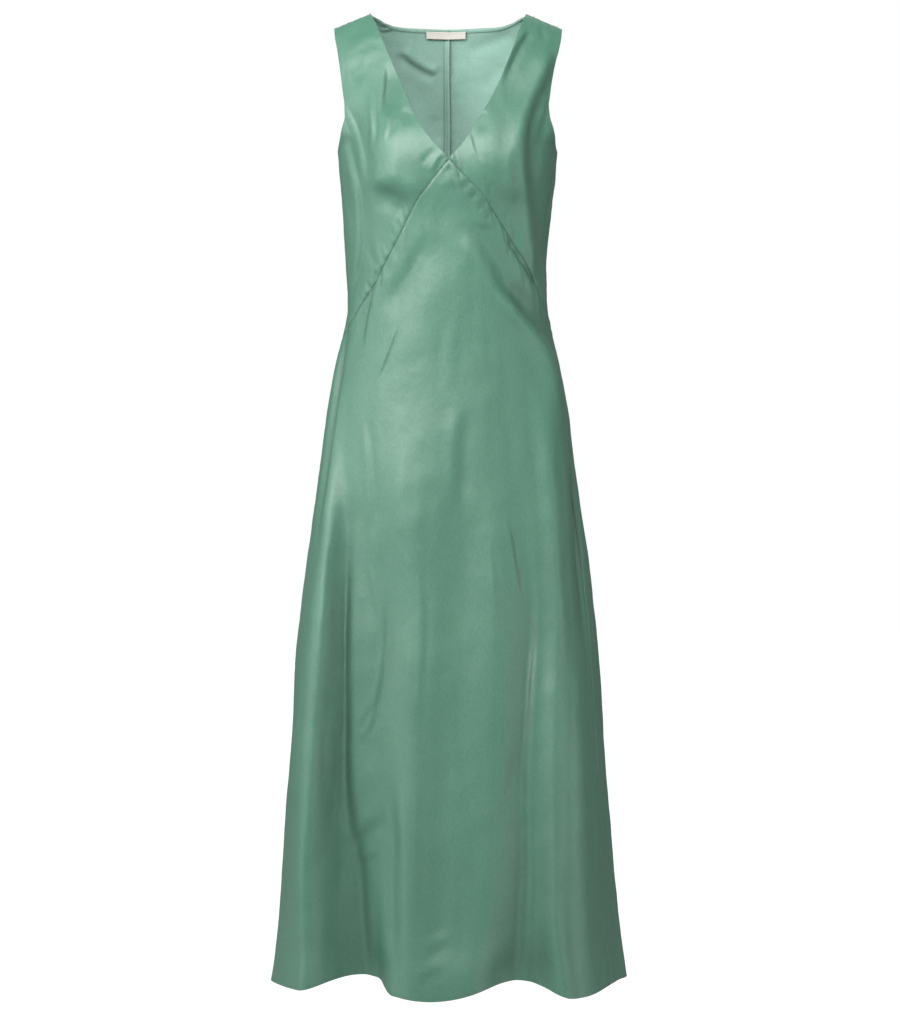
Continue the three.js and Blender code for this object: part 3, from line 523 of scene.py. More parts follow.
def seam_lines():
    t = np.linspace(0, 1, 220)
    lines = {}
    for k, side in enumerate(("left", "right")):
        sgn = (-1, 1)[k]
        z = diagonal[k](t)
        lines[f"diagonal_{side}"] = line3(sgn * t * side_seam[k](z), z)
        z = np.linspace(UNDERARM, -1262, 520)
        lines[f"side_{side}"] = line3(sgn * side_seam[k](z), z)
    z = np.linspace(BACK_NECK[0, 1], -1262, 560)
    lines["centre_back"] = line3(np.full(560, 180.0), z)
    for k, side in enumerate(("left", "right")):
        sgn = (-1, 1)[k]
        corner = DIAGONAL[-1, 1 + k]
        z = np.linspace(UNDERARM, corner, 130)
        lines[f"side_{side}_top"] = line3(sgn * side_seam[k](z), z)
        z = np.linspace(corner, -1262, 400)
        lines[f"side_{side}_low"] = line3(sgn * side_seam[k](z), z)
        x = np.linspace(NECK_X, TIP_X, 40)
        a = sgn * np.degrees(np.arcsin(x / 172.0))
        lines[f"shoulder_{side}"] = line3(a, root=np.zeros(40))
    return lines


SEAMS = seam_lines()


def from_line(p, name):
    """Distance to a seam, and the place along it."""
    from mathutils.kdtree import KDTree
    pts, s = SEAMS[name]
    tree = KDTree(len(pts))
    for i, q in enumerate(pts):
        tree.insert(q, i)
    tree.balance()
    flat = p.reshape(-1, 3)
    near = np.array([tree.find(q)[1:] for q in flat.tolist()])
    return near[:, 1].reshape(p.shape[:-1]), s[near[:, 0].astype(int)].reshape(p.shape[:-1])


# which seams each kind of panel meets, with the height and reach of its puckers
PUCKERS = {
    "bodice_left": [("diagonal_left", 0.85, 9, 7, 15), ("side_left", 0.3, 9, 10, 24)],
    "bodice_right": [("diagonal_right", 0.85, 9, 7, 15), ("side_right", 0.3, 9, 10, 24)],
    "skirt": [("diagonal_left", 1.15, 12, 8, 17), ("diagonal_right", 1.3, 11, 7, 15),
              ("side_left", 0.25, 12, 12, 30), ("side_right", 0.25, 12, 12, 30)],
    "back_left": [("centre_back", 0.3, 12, 12, 30), ("side_left", 0.2, 10, 12, 30)],
    "back_right": [("centre_back", 0.3, 12, 12, 30), ("side_right", 0.2, 10, 12, 30)],
}


NEIGHBOURS = {      # the panel on the other side of each seam
    "bodice_left": [("diagonal_left", "skirt"), ("side_left", "back_left"), ("shoulder_left", "back_left")],
    "bodice_right": [("diagonal_right", "skirt"), ("side_right", "back_right"), ("shoulder_right", "back_right")],
    "skirt": [("diagonal_left", "bodice_left"), ("diagonal_right", "bodice_right"), ("side_left", "back_left"),
              ("side_right", "back_right")],
    "back_left": [("centre_back", "back_right"), ("side_left_top", "bodice_left"), ("side_left_low", "skirt"),
                  ("shoulder_left", "bodice_left")],
    "back_right": [("centre_back", "back_left"), ("side_right_top", "bodice_right"), ("side_right_low", "skirt"),
                   ("shoulder_right", "bodice_right")],
}


def raw_push(kind, base, angle):
    """How far the folds and puckers alone move each point of a panel in."""
    group = kind.split("_")[0]
    out = np.zeros(angle.shape)
    views = {"front": seen(base, -1), "back": seen(base, 1),
             "round": np.stack([(angle + 360) % 360, base[..., 2]], -1)}
    for where, on, fold_kind, depth, width, ends, points in FOLDS:
        if on in (group, kind, "all"):
            q = views[where]
            if where == "round":     # degrees count for about 2.6 mm each
                q = q * (2.6, 1.0)
                points = [(a * 2.6, z) for a, z in points]
            out += fold(q, points, depth, width, fold_kind, ends)
    low = smooth((-base[..., 2] - 100) / 500)
    out += 1.1 * (0.5 + low) * broad(base) + 0.32 * middling(base)
    hung = base * [1, 1, 1]
    hung[..., :2] *= (170 / half_l(-np.minimum(base[..., 2], -200)))[..., None]      # streaks spread as the skirt does
    some = 0.65 + 0.5 * patchy(base)
    out += 0.46 * (0.45 + 0.55 * low) * some * streaky(hung) + 0.075 * (1.5 - some) * crumpled(base)
    for n, (name, height, reach, short, long_) in enumerate(PUCKERS[kind]):
        d, s = from_line(base, name)
        wob = pucker_noise(40 + 7 * n + len(kind), short, long_)
        along = s + 0.35 * d
        if name.startswith("diagonal"):      # those under the bust run nearly straight down
            along = 1.3 * base[..., 0] + 0.25 * base[..., 2] + (2.0 if "left" in name else -2.0) * 0.1 * d
        v = wob(along)
        out += height * (v + 0.5 * v * np.abs(v)) * np.exp(-d / reach) * (1 - np.exp(-d / 1.3))
    return out


def push_in(kind, base, angle):
    """The same, made to agree with the neighbours at the seams, and drawn in a little along them."""
    own = raw_push(kind, base, angle)
    out = own.copy()
    for name, other in NEIGHBOURS[kind]:
        d, _ = from_line(base, name)
        near = d < 45
        if near.any():
            out[near] += 0.5 * (raw_push(other, base[near], angle[near]) - own[near]) * np.exp(-(d[near] / 11) ** 2)
    for name, *_ in PUCKERS[kind]:
        d, _ = from_line(base, name)
        out += 0.75 * np.exp(-(d / 1.7) ** 2) + 0.18 * np.exp(-(d / 6.5) ** 2)
    return out


# ---------------------------------------------------------------- panels
THICK = 0.6
GAP = 0.3
NEAR = [0.0, 0.5, 1.3, 2.5, 3.9, 5.8]     # lines laid close to an edge, mm from it
# what the cloth does past an edge: (which line in from the edge, how far in towards the body)
EDGE = {"turn": [(0, 0.45), (0, 1.0), (1, 1.45), (2, 1.5), (3, 1.5), (4, 1.45)],   # a narrow turned hem
        "seam": [(0, 0.9), (0, 2.3)],                                               # a seam allowance
        "lip": [(0, 0.4), (0, 0.9)]}                                                # an edge under a binding


def spread(length, count, low=True, high=True, lean=0.0):
    """Places from 0 to 1 across lines of the given lengths: close to the edges first, then even."""
    length = np.atleast_1d(np.asarray(length, float))[:, None]
    near = np.array(NEAR)[None, :] / np.maximum(length, 1e-6)
    near = near * np.minimum(1, 0.3 / np.maximum(near[:, -1:], 1e-9))
    first = near if low else np.zeros((len(length), 1))
    start = first[:, -1:]
    end = 1 - near[:, -1:] if high else np.ones((len(length), 1))
    t = np.linspace(0, 1, count + 2)[None, 1:-1]
    even = start + (end - start) * (t + lean * (t * t - t))
    return np.concatenate([first, even, 1 - near[:, ::-1] if high else end], axis=1)


def unit(v):
    return v / np.maximum(np.linalg.norm(v, axis=-1, keepdims=True), 1e-12)


def grid_normals(p):
    return unit(np.cross(np.gradient(p, axis=0), np.gradient(p, axis=1)))


def draw_in(p, edges):
    """Moves each edge in by half the clearance at a seam."""
    q = p.copy()
    at = {"top": (np.s_[0], np.s_[1]), "bottom": (np.s_[-1], np.s_[-2]),
          "first": (np.s_[:, 0], np.s_[:, 1]), "last": (np.s_[:, -1], np.s_[:, -2])}
    for name, (edge, inner) in at.items():
        if edges[name]:
            v = p[inner] - p[edge]
            r = np.linalg.norm(v, axis=-1, keepdims=True)
            q[edge] += v / np.maximum(r, 1e-9) * np.minimum(GAP / 2, r / 2)
    return q


def add_edges(p, n, edges):
    """Adds the turned lines on the four sides of a grid. edges[side] is [(from line, kind), ...] along that side."""
    for name, axis, end in (("first", 1, 0), ("last", 1, -1), ("top", 0, 0), ("bottom", 0, -1)):
        runs = edges[name]
        if not runs:
            continue
        if axis == 0:
            p, n = p.transpose(1, 0, 2), n.transpose(1, 0, 2)
            pad = (p.shape[0] - edges["_cols"]) if "_cols" in edges else 0
            runs = [(start + (edges["_first_extra"] if start else 0), kind) for start, kind in runs]
        most = max(len(EDGE[k]) for _, k in runs)
        lines = np.empty((most, p.shape[0], 3))
        for (start, kind), (stop, _) in zip(runs, runs[1:] + [(p.shape[0], "")]):
            for j in range(most):
                k, inward = EDGE[kind][min(j, len(EDGE[kind]) - 1)]
                inward += 0.12 * max(0, j - len(EDGE[kind]) + 1)
                k = k if end == 0 else -1 - k
                lines[j, start:stop] = (p[:, k] - n[:, k] * inward)[start:stop]
        new = lines.transpose(1, 0, 2)
        m = np.repeat(n[:, [0 if end == 0 else -1]], most, axis=1)
        p = np.concatenate([new[:, ::-1], p], 1) if end == 0 else np.concatenate([p, new], 1)
        n = np.concatenate([m, n], 1) if end == 0 else np.concatenate([n, m], 1)
        if axis == 1 and end == 0:
            edges = {**edges, "_first_extra": most}
        if axis == 0:
            p, n = p.transpose(1, 0, 2), n.transpose(1, 0, 2)
    return p


def make_mesh(name, verts, quads, slots, materials, smooth_shade=True):
    mesh = bpy.data.meshes.new(name)
    v = np.asarray(verts, np.float32) / 1000.0
    q = np.asarray(quads, np.int32)
    mesh.vertices.add(len(v))
    mesh.vertices.foreach_set("co", v.ravel())
    mesh.loops.add(q.size)
    mesh.loops.foreach_set("vertex_index", q.ravel())
    mesh.polygons.add(len(q))
    mesh.polygons.foreach_set("loop_start", np.arange(0, q.size, q.shape[1], dtype=np.int32))
    mesh.polygons.foreach_set("loop_total", np.full(len(q), q.shape[1], np.int32))
    mesh.polygons.foreach_set("material_index", np.asarray(slots, np.int32))
    mesh.update(calc_edges=True)
    for m in materials:
        mesh.materials.append(m)
    mesh.polygons.foreach_set("use_smooth", np.full(len(mesh.polygons), smooth_shade))
    obj = bpy.data.objects.new(name, mesh)
    bpy.context.scene.collection.objects.link(obj)
    return obj


def shell(name, p, thick, materials):
    """A closed thin shell on a grid of points: the outside, the inside and a rim."""
    rows, cols = p.shape[:2]
    inner = p - grid_normals(p) * thick
    ids = np.arange(rows * cols).reshape(rows, cols)
    out = np.stack([ids[:-1, :-1], ids[1:, :-1], ids[1:, 1:], ids[:-1, 1:]], -1).reshape(-1, 4)
    off = rows * cols
    loop = np.concatenate([ids[:, 0], ids[-1, 1:], ids[-2::-1, -1], ids[0, -2:0:-1]])
    nxt = np.roll(loop, -1)
    rim = np.stack([nxt, loop, loop + off, nxt + off], -1)
    quads = np.concatenate([out, out[:, ::-1] + off, rim])
    slots = np.concatenate([np.zeros(len(out)), np.ones(len(out) + len(rim))])
    return make_mesh(name, np.concatenate([p.reshape(-1, 3), inner.reshape(-1, 3)]), quads, slots, materials)


def row_lengths(angle, root):
    return np.linalg.norm(np.diff(surface(angle, root), axis=1), axis=-1).sum(1)


GRIDS = {}


def build_panel(name, kind, angle, root, edges, materials):
    base, out = surface(angle, root), outward(angle, root)
    p = draw_in(base - out * push_in(kind, base, angle)[..., None], edges)
    n = grid_normals(p)
    turn = (n * out).sum() < 0
    n = -n if turn else n
    GRIDS[name] = (p, n)
    full = add_edges(p, n, edges)
    return shell(name, full[:, ::-1] if turn else full, THICK, materials)


def lerp(a, b, t):
    return a + (b - a) * t


SIGN = (-1, 1)


UP = 138       # rows of a bodice panel above the underarm


def bodice(k, name, materials):
    upper = smooth(np.linspace(0, 1, UP))
    lower = np.linspace(0, 0.985, 124)[1:]
    z_in = np.concatenate([lerp(NECK_Z, V_POINT, upper), diagonal[k](lower)])
    z_out = np.concatenate([lerp(TIP_Z, UNDERARM, upper), lerp(UNDERARM, DIAGONAL[-1, 1 + k], lower)])
    a_in = np.concatenate([np.abs(angle_of_x(SIGN[k] * v_neck[k](z_in[:UP]), z_in[:UP])), lower * side_seam[k](z_in[UP:])])
    a_out = np.concatenate([arm_front(z_out[:UP]), side_seam[k](z_out[UP:])])
    u = np.linspace(0, 1, 12)[None, :]
    probe_a, probe_z = SIGN[k] * lerp(a_in[:, None], a_out[:, None], u), lerp(z_in[:, None], z_out[:, None], u)
    u = spread(row_lengths(probe_a, root_of(probe_a, probe_z)), 92)
    angle, z = SIGN[k] * lerp(a_in[:, None], a_out[:, None], u), lerp(z_in[:, None], z_out[:, None], u)
    root = root_of(angle, z)
    root[0] = 0
    edges = {"top": [(0, "seam")], "bottom": [], "first": [(0, "turn"), (UP - 1, "seam")], "last": [(0, "turn"), (UP - 1, "seam")]}
    return build_panel(name, f"bodice_{('left', 'right')[k]}", angle, root, edges, materials)


def skirt_points(share, t):
    """Angle and root at a share of the way to the side seam and a share of the way down."""
    left = share < 0
    top = np.where(left, diagonal[0](np.abs(share)), diagonal[1](np.abs(share)))
    hem_side = np.where(left, side_seam[0](-1257.0), side_seam[1](-1257.0))
    z = lerp(top, hem_at(share * hem_side), t)
    angle = share * np.where(left, side_seam[0](z), side_seam[1](z))
    return angle, root_of(angle, z)


def front_skirt(name, materials):
    probe = np.linspace(-1, 1, 61)
    t = np.linspace(0, 1, 40)[:, None]
    p = surface(*skirt_points(np.broadcast_to(probe, (40, 61)), t))
    tall = np.linalg.norm(np.diff(p, axis=0), axis=-1).sum(0)
    rows = spread(tall, 226, lean=0.5)                       # one line of places for each probe column
    wide = np.linalg.norm(np.diff(p, axis=1), axis=-1)
    at = np.linspace(0, 1, rows.shape[1])
    left, right = [np.interp(at, t[:, 0], w) for w in (wide[:, :30].sum(1), wide[:, 30:].sum(1))]
    lf, rt = spread(left, 84, high=False) - 1, 1 - spread(right, 84, high=False)[:, ::-1]
    share = np.concatenate([lf, rt[:, 1:]], 1)
    down = np.stack([np.interp(share[r], probe, rows[:, r]) for r in range(share.shape[0])])
    angle, root = skirt_points(share, down)
    edges = {"top": [(0, "seam")], "bottom": [(0, "turn")], "first": [(0, "seam")], "last": [(0, "seam")]}
    return build_panel(name, "skirt", angle, root, edges, materials)


BACK_UP = 112


def back_panel(k, name, materials):
    neck = float(np.abs(angle_of_x(np.array(NECK_X * SIGN[k]), np.array(NECK_Z))))
    tip = float(arm_back(TIP_Z))
    part = neck / tip
    upper = smooth(np.linspace(0, 1, BACK_UP))
    corner = DIAGONAL[-1, 1 + k]
    lower = spread([abs(-1262 - UNDERARM)], 250)[0][len(NEAR):]
    count = len(upper) + len(lower)
    z_side = np.concatenate([lerp(TIP_Z, UNDERARM, upper), lerp(UNDERARM, -1257, lower)])
    outer = np.concatenate([arm_back(z_side[:BACK_UP]), 180 - side_seam[k](z_side[BACK_UP:])])
    probe = np.linspace(0, 1, 14)[None, :]
    pa = SIGN[k] * (180 - outer[:, None] * probe)
    long_ = row_lengths(pa, root_of(pa, np.minimum(z_side[:, None], -4) * np.ones_like(pa)))
    share = np.concatenate([spread(long_ * part, 38, high=False) * part,
                            part + (1 - part) * spread(long_ * (1 - part), 30, low=False)[:, 1:]], 1)
    split = spread([100.0], 38, high=False).shape[1] - 1
    angle = SIGN[k] * (180 - outer[:, None] * share)
    top_angle = SIGN[k] * (180 - tip * share[0])
    top = np.where(np.arange(share.shape[1]) < split, back_neck(np.clip(share[0] / part, 0, 1)), surface(top_angle, np.zeros(share.shape[1]))[:, 2])
    z = np.empty(share.shape)
    z[:BACK_UP] = lerp(top[None, :], UNDERARM, upper[:, None])
    hem = hem_at(SIGN[k] * (180 - (180 - float(side_seam[k](-1257))) * share[-1]))
    z[BACK_UP:] = lerp(UNDERARM, hem[None, :], lower[:, None])
    root = root_of(angle, z)
    root[0, split:] = 0
    edges = {"top": [(0, "lip"), (split, "seam")], "bottom": [(0, "turn")], "first": [(0, "seam")],
             "last": [(0, "turn"), (BACK_UP - 1, "seam")]}
    return build_panel(name, f"back_{('left', 'right')[k]}", angle, root, edges, materials)


# ---------------------------------------------------------------- materials
def nodes_of(name):
    m = bpy.data.materials.new(name)
    m.use_nodes = True
    tree = m.node_tree
    tree.nodes.clear()
    made = tree.nodes.new("ShaderNodeOutputMaterial")
    bsdf = tree.nodes.new("ShaderNodeBsdfPrincipled")
    tree.links.new(bsdf.outputs["BSDF"], made.inputs["Surface"])
    return m, tree, bsdf


def add(tree, kind, **values):
    node = tree.nodes.new(kind)
    for key, value in values.items():
        if key in node.inputs:
            node.inputs[key].default_value = value
        else:
            setattr(node, key, value)
    return node


def place(tree, scale, turn=(0, 0, 0)):
    where = add(tree, "ShaderNodeTexCoord")
    at = add(tree, "ShaderNodeMapping")
    at.inputs["Scale"].default_value = scale
    at.inputs["Rotation"].default_value = turn
    tree.links.new(where.outputs["Object"], at.inputs["Vector"])
    return at.outputs["Vector"]


# deep is the power of the painted shade: ambient occlusion multiplied into the base colour in folds (0 for none)
def satin(name, colour, rough, sheen, spec, weave, aniso=0.0, deep=0.0, ior=1.5):
    m, tree, bsdf = nodes_of(name)
    link = tree.links.new
    # a soft unevenness of the dye
    cloud = add(tree, "ShaderNodeTexNoise", Scale=9.0, Detail=3.0, Roughness=0.55)
    link(place(tree, (1, 1, 0.6)), cloud.inputs["Vector"])
    tone = add(tree, "ShaderNodeValToRGB")
    low, high = [c * 0.955 for c in colour], [min(1, c * 1.045) for c in colour]
    tone.color_ramp.elements[0].position, tone.color_ramp.elements[1].position = 0.3, 0.7
    tone.color_ramp.elements[0].color = (*low, 1)
    tone.color_ramp.elements[1].color = (*high, 1)
    link(cloud.outputs["Fac"], tone.inputs["Fac"])
    # threads: fine streaks on the bias, lighter and darker by a little
    streak = add(tree, "ShaderNodeTexNoise", Scale=1.0, Detail=2.0, Roughness=0.6)
    link(place(tree, (2400, 2400, 150), (0, math.radians(45), 0)), streak.inputs["Vector"])
    across = add(tree, "ShaderNodeTexNoise", Scale=1.0, Detail=1.0, Roughness=0.5)
    link(place(tree, (150, 2400, 2600), (0, math.radians(45), 0)), across.inputs["Vector"])
    both = add(tree, "ShaderNodeMath", operation="MULTIPLY_ADD")
    both.inputs[1].default_value = 0.5
    link(across.outputs["Fac"], both.inputs[0])
    link(streak.outputs["Fac"], both.inputs[2])
    thread = add(tree, "ShaderNodeMixRGB", blend_type="SOFT_LIGHT")
    thread.inputs["Fac"].default_value = 0.13
    link(tone.outputs["Color"], thread.inputs["Color1"])
    link(both.outputs["Value"], thread.inputs["Color2"])
    # slubs: short thicker lengths of thread, a millimetre or two wide
    slub = add(tree, "ShaderNodeTexNoise", Scale=1.0, Detail=2.0, Roughness=0.7)
    link(place(tree, (620, 620, 260), (0, math.radians(45), 0)), slub.inputs["Vector"])
    tint = add(tree, "ShaderNodeMixRGB", blend_type="SOFT_LIGHT")
    tint.inputs["Fac"].default_value = 0.3
    link(thread.outputs["Color"], tint.inputs["Color1"])
    link(slub.outputs["Fac"], tint.inputs["Color2"])
    if deep:        # painted shade: ambient occlusion darkens the base colour deep in a fold, where less light reaches the cloth
        painted_fold_shade = add(tree, "ShaderNodeAmbientOcclusion", samples=6, Distance=0.06)
        power = add(tree, "ShaderNodeMath", operation="POWER")
        power.inputs[1].default_value = deep
        link(painted_fold_shade.outputs["AO"], power.inputs[0])
        shade = add(tree, "ShaderNodeMixRGB", blend_type="MULTIPLY")
        shade.inputs["Fac"].default_value = 1.0
        link(tint.outputs["Color"], shade.inputs["Color1"])
        link(power.outputs["Value"], shade.inputs["Color2"])
        link(shade.outputs["Color"], bsdf.inputs["Base Color"])
    else:
        link(tint.outputs["Color"], bsdf.inputs["Base Color"])
    gloss = add(tree, "ShaderNodeMapRange")
    gloss.inputs["From Min"].default_value, gloss.inputs["From Max"].default_value = 0.3, 1.0
    gloss.inputs["To Min"].default_value, gloss.inputs["To Max"].default_value = rough - 0.03, rough + 0.05
    link(both.outputs["Value"], gloss.inputs["Value"])
    link(gloss.outputs["Result"], bsdf.inputs["Roughness"])
    # the cloth is never quite flat: faint crumples under the weave itself
    crumple = add(tree, "ShaderNodeTexNoise", Scale=1.0, Detail=3.0, Roughness=0.6)
    link(place(tree, (150, 150, 105), (0, math.radians(30), 0)), crumple.inputs["Vector"])
    faint = add(tree, "ShaderNodeBump", Strength=0.55, Distance=0.0006)
    link(crumple.outputs["Fac"], faint.inputs["Height"])
    bump = add(tree, "ShaderNodeBump", Strength=weave, Distance=0.0002)
    link(both.outputs["Value"], bump.inputs["Height"])
    link(faint.outputs["Normal"], bump.inputs["Normal"])
    link(bump.outputs["Normal"], bsdf.inputs["Normal"])
    bsdf.inputs["IOR"].default_value = ior
    bsdf.inputs["Specular Tint"].default_value = (1.0, 1.0, 0.985, 1)
    bsdf.inputs["Specular IOR Level"].default_value = spec
    bsdf.inputs["Sheen Weight"].default_value = sheen
    bsdf.inputs["Sheen Roughness"].default_value = 0.45
    bsdf.inputs["Sheen Tint"].default_value = (0.82, 1.0, 0.92, 1)
    bsdf.inputs["Anisotropic"].default_value = aniso
    return m


def label_material():
    m, tree, bsdf = nodes_of("label_tape")
    link = tree.links.new
    rib = add(tree, "ShaderNodeTexWave", wave_type="BANDS", bands_direction="Z", Scale=260.0, Distortion=0.6, Detail=1.0)
    link(place(tree, (1, 1, 1)), rib.inputs["Vector"])
    fleck = add(tree, "ShaderNodeTexNoise", Scale=900.0, Detail=2.0)
    link(place(tree, (1, 1, 1)), fleck.inputs["Vector"])
    tone = add(tree, "ShaderNodeValToRGB")
    tone.color_ramp.elements[0].color = (0.60, 0.56, 0.50, 1)
    tone.color_ramp.elements[1].color = (0.74, 0.71, 0.66, 1)
    link(fleck.outputs["Fac"], tone.inputs["Fac"])
    link(tone.outputs["Color"], bsdf.inputs["Base Color"])
    bump = add(tree, "ShaderNodeBump", Strength=0.35, Distance=0.0002)
    link(rib.outputs["Fac"], bump.inputs["Height"])
    link(bump.outputs["Normal"], bsdf.inputs["Normal"])
    bsdf.inputs["Roughness"].default_value = 0.75
    bsdf.inputs["Sheen Weight"].default_value = 0.15
    return m


# the last number of each satin is the power of the painted shade that ambient occlusion puts into its colour in folds
OUTSIDE = satin("satin_outside", (0.067, 0.200, 0.134), 0.47, 0.03, 1.0, 0.35, 0.3, 1.8)
INSIDE = satin("satin_inside", (0.275, 0.465, 0.385), 0.56, 0.14, 0.4, 0.5, 0.0, 0.8)
LABEL = label_material()

# ---------------------------------------------------------------- the dress
SATIN = [OUTSIDE, INSIDE]
pieces = {
    "left_front_bodice": (bodice(0, "left_front_bodice", SATIN), "front_bodice_left"),
    "right_front_bodice": (bodice(1, "right_front_bodice", SATIN), "front_bodice_right"),
    "front_skirt_panel": (front_skirt("front_skirt_panel", SATIN), "front_skirt"),
    "left_back_panel": (back_panel(0, "left_back_panel", SATIN), "back_left"),
    "right_back_panel": (back_panel(1, "right_back_panel", SATIN), "back_right"),
}


def area_of(obj):
    return sum(poly.area for poly in obj.data.polygons) / 2


def inside_neck(depths, inward, count=81, reach=0.985):
    """Lines of points along the inside of the back neckline, from the left neck point to the right."""
    rows = [[] for _ in depths]
    for name, order in (("left_back_panel", -1), ("right_back_panel", 1)):
        p, n = GRIDS[name]
        cols = [c for c in range(p.shape[1])]
        split = spread([100.0], 38, high=False).shape[1] - 1
        cols = list(range(0, split + 1))
        lines = []
        for c in cols:
            q, m = p[:60, c], n[:60, c]
            s = np.concatenate([[0], np.cumsum(np.linalg.norm(np.diff(q, axis=0), axis=1))])
            lines.append([(np.array([np.interp(d, s, q[:, a]) for a in range(3)]),
                           unit(np.array([np.interp(d, s, m[:, a]) for a in range(3)]))) for d in depths])
        lines = lines[::-1] if order < 0 else lines[1:]
        for r in range(len(depths)):
            rows[r] += [ln[r] for ln in lines]
    out, ups = [], []
    for r in range(len(depths)):
        q, m = np.array([a for a, _ in rows[r]]), np.array([b for _, b in rows[r]])
        s = np.concatenate([[0], np.cumsum(np.linalg.norm(np.diff(q, axis=0), axis=1))])
        at = np.linspace(1 - reach, reach, count) * s[-1]
        q = np.stack([np.interp(at, s, q[:, a]) for a in range(3)], -1)
        m = unit(np.stack([np.interp(at, s, m[:, a]) for a in range(3)], -1))
        out.append(q - m * inward[r])
        ups.append(m)
    return np.array(out), np.array(ups)


# the narrow binding: a soft rounded strip, turned under along its lower edge
depths = [0.15, 0.6, 1.4, 2.6, 3.9, 4.8, 5.4, 5.7]
q, m = inside_neck(depths, [0.9, 1.4, 1.6, 1.6, 1.55, 1.4, 1.15, 0.85], 141)
ripple = pucker_noise(77, 6, 14)(np.arange(141) * 1.5)
q[1:-1] -= m[1:-1] * (0.12 * ripple)[None, :, None]
binding = shell("back_neckline_binding", q, 0.5, [INSIDE, INSIDE])

# the centre back seam's allowance, closed in itself and pressed over to the viewer's left; it comes out from under the
# label, and its free edge turns down to the right back beside it
p, n = GRIDS["left_back_panel"]
drop = p[0, 0, 2] - p[:, 0, 2]
first = int(np.argmax(drop > 11.4))
low = (0.42 + 0.58 * smooth((drop[first:-3] - 12.0) / 14.0))[:, None]
inward = [4.4, 3.9, 3.1, 2.3, 1.7, 1.1]
lines = [p[first:-3, c] - n[first:-3, c] * (inward[c] * low) for c in range(5, -1, -1)]
side = unit(lines[-1] - lines[-2])
wide = (1.5 + 1.5 * smooth((drop[first:-3] - 20.0) / 140.0))[:, None]
foot = p[first:-3, 0] - n[first:-3, 0] * 0.75 + side * wide
half = (lines[-1] + foot) / 2 + side * 0.12
allowance = shell("centre_back_allowance", np.stack(lines + [half, foot], 1)[:, ::-1], 0.5, [INSIDE, INSIDE])

# the label: woven tape with its ends folded under, sewn on over the binding's lower edge
HALF, TALL = 26.3, 10.0
q, m = inside_neck([2.7 + TALL * t for t in np.linspace(0, 1, 12)], [2.75] * 12, 161)
cols = np.where(np.abs(q[5, :, 0] + 4) <= HALF + 1)[0]
x = q[:, cols, 0]
at = np.linspace(-4 - HALF, -4 + HALF, 44)
grid = np.stack([np.stack([np.interp(at, x[r], q[r, cols, a]) for a in range(3)], -1) for r in range(12)])
norm = np.stack([np.stack([np.interp(at, x[r], m[r, cols, a]) for a in range(3)], -1) for r in range(12)])
for _ in range(14):         # the tape is stiffer than the satin, and bridges the seam behind it
    grid[:, 1:-1] = (grid[:, :-2] + 2 * grid[:, 1:-1] + grid[:, 2:]) / 4
    norm[:, 1:-1] = unit((norm[:, :-2] + 2 * norm[:, 1:-1] + norm[:, 2:]) / 4)
v = np.linspace(0, 1, 12)[:, None]
u = np.linspace(-1, 1, 44)[None, :]
lift = 0.9 * v ** 2 + 0.5 * v * np.exp(-((np.abs(u) - 1) / 0.07) ** 2) + 0.12 * np.sin(9 * u + 1) * v
grid = grid - norm * lift[..., None]
under = [grid[:, [c]] + norm[:, [c]] * d for c, d in ((0, 0.45), (2, 0.5), (5, 0.45))]
under2 = [grid[:, [c]] + norm[:, [c]] * d for c, d in ((-1, 0.45), (-3, 0.5), (-6, 0.45))]
grid = np.concatenate(under[::-1] + [grid] + under2, 1)
label = shell("neck_tape_label", grid, 0.3, [LABEL, LABEL])


def stitches(name, line, normals, step, length, radius, material):
    """A run of sewing thread: short rounded stitches laid along a line on the cloth."""
    s = np.concatenate([[0], np.cumsum(np.linalg.norm(np.diff(line, axis=0), axis=1))])
    verts, quads = [], []
    centre = np.arange(step, s[-1] - step, step)
    for c in centre:
        ends = [np.array([np.interp(c + h, s, line[:, a]) for a in range(3)]) for h in (-length / 2, length / 2)]
        nn = unit(np.array([np.interp(c, s, normals[:, a]) for a in range(3)]))
        t = unit(ends[1] - ends[0])
        b = np.cross(nn, t)
        start = len(verts)
        for f, r, up in ((0, 0.35, -0.08), (0.25, 1.0, 0.1), (0.75, 1.0, 0.1), (1, 0.35, -0.08)):
            o = ends[0] + (ends[1] - ends[0]) * f + nn * up
            for k in range(4):
                ang = math.pi / 2 * k + math.pi / 4
                verts.append(o + radius * r * (math.cos(ang) * b + math.sin(ang) * nn))
        for ringi in range(3):
            for k in range(4):
                a0, a1 = start + ringi * 4 + k, start + ringi * 4 + (k + 1) % 4
                quads.append((a0, a1, a1 + 4, a0 + 4))
        quads.append((start + 3, start + 2, start + 1, start))
        quads.append((start + 12, start + 13, start + 14, start + 15))
    return make_mesh(name, verts, quads, np.zeros(len(quads)), [material])


def satin_thread():
    m, tree, bsdf = nodes_of("sewing_thread")
    fleck = add(tree, "ShaderNodeTexNoise", Scale=1500.0, Detail=1.0)
    tree.links.new(place(tree, (1, 1, 1)), fleck.inputs["Vector"])
    tone = add(tree, "ShaderNodeValToRGB")
    tone.color_ramp.elements[0].color = (0.13, 0.27, 0.19, 1)
    tone.color_ramp.elements[1].color = (0.20, 0.38, 0.28, 1)
    tree.links.new(fleck.outputs["Fac"], tone.inputs["Fac"])
    tree.links.new(tone.outputs["Color"], bsdf.inputs["Base Color"])
    bsdf.inputs["Roughness"].default_value = 0.5
    return m


THREAD = satin_thread()
hem_threads = []
for name in ("front_skirt_panel", "left_back_panel", "right_back_panel"):
    p, n = GRIDS[name]
    hem_threads.append((name, stitches(name + "_hem_stitches", p[-5], n[-5], 3.1, 2.3, 0.16, THREAD)))

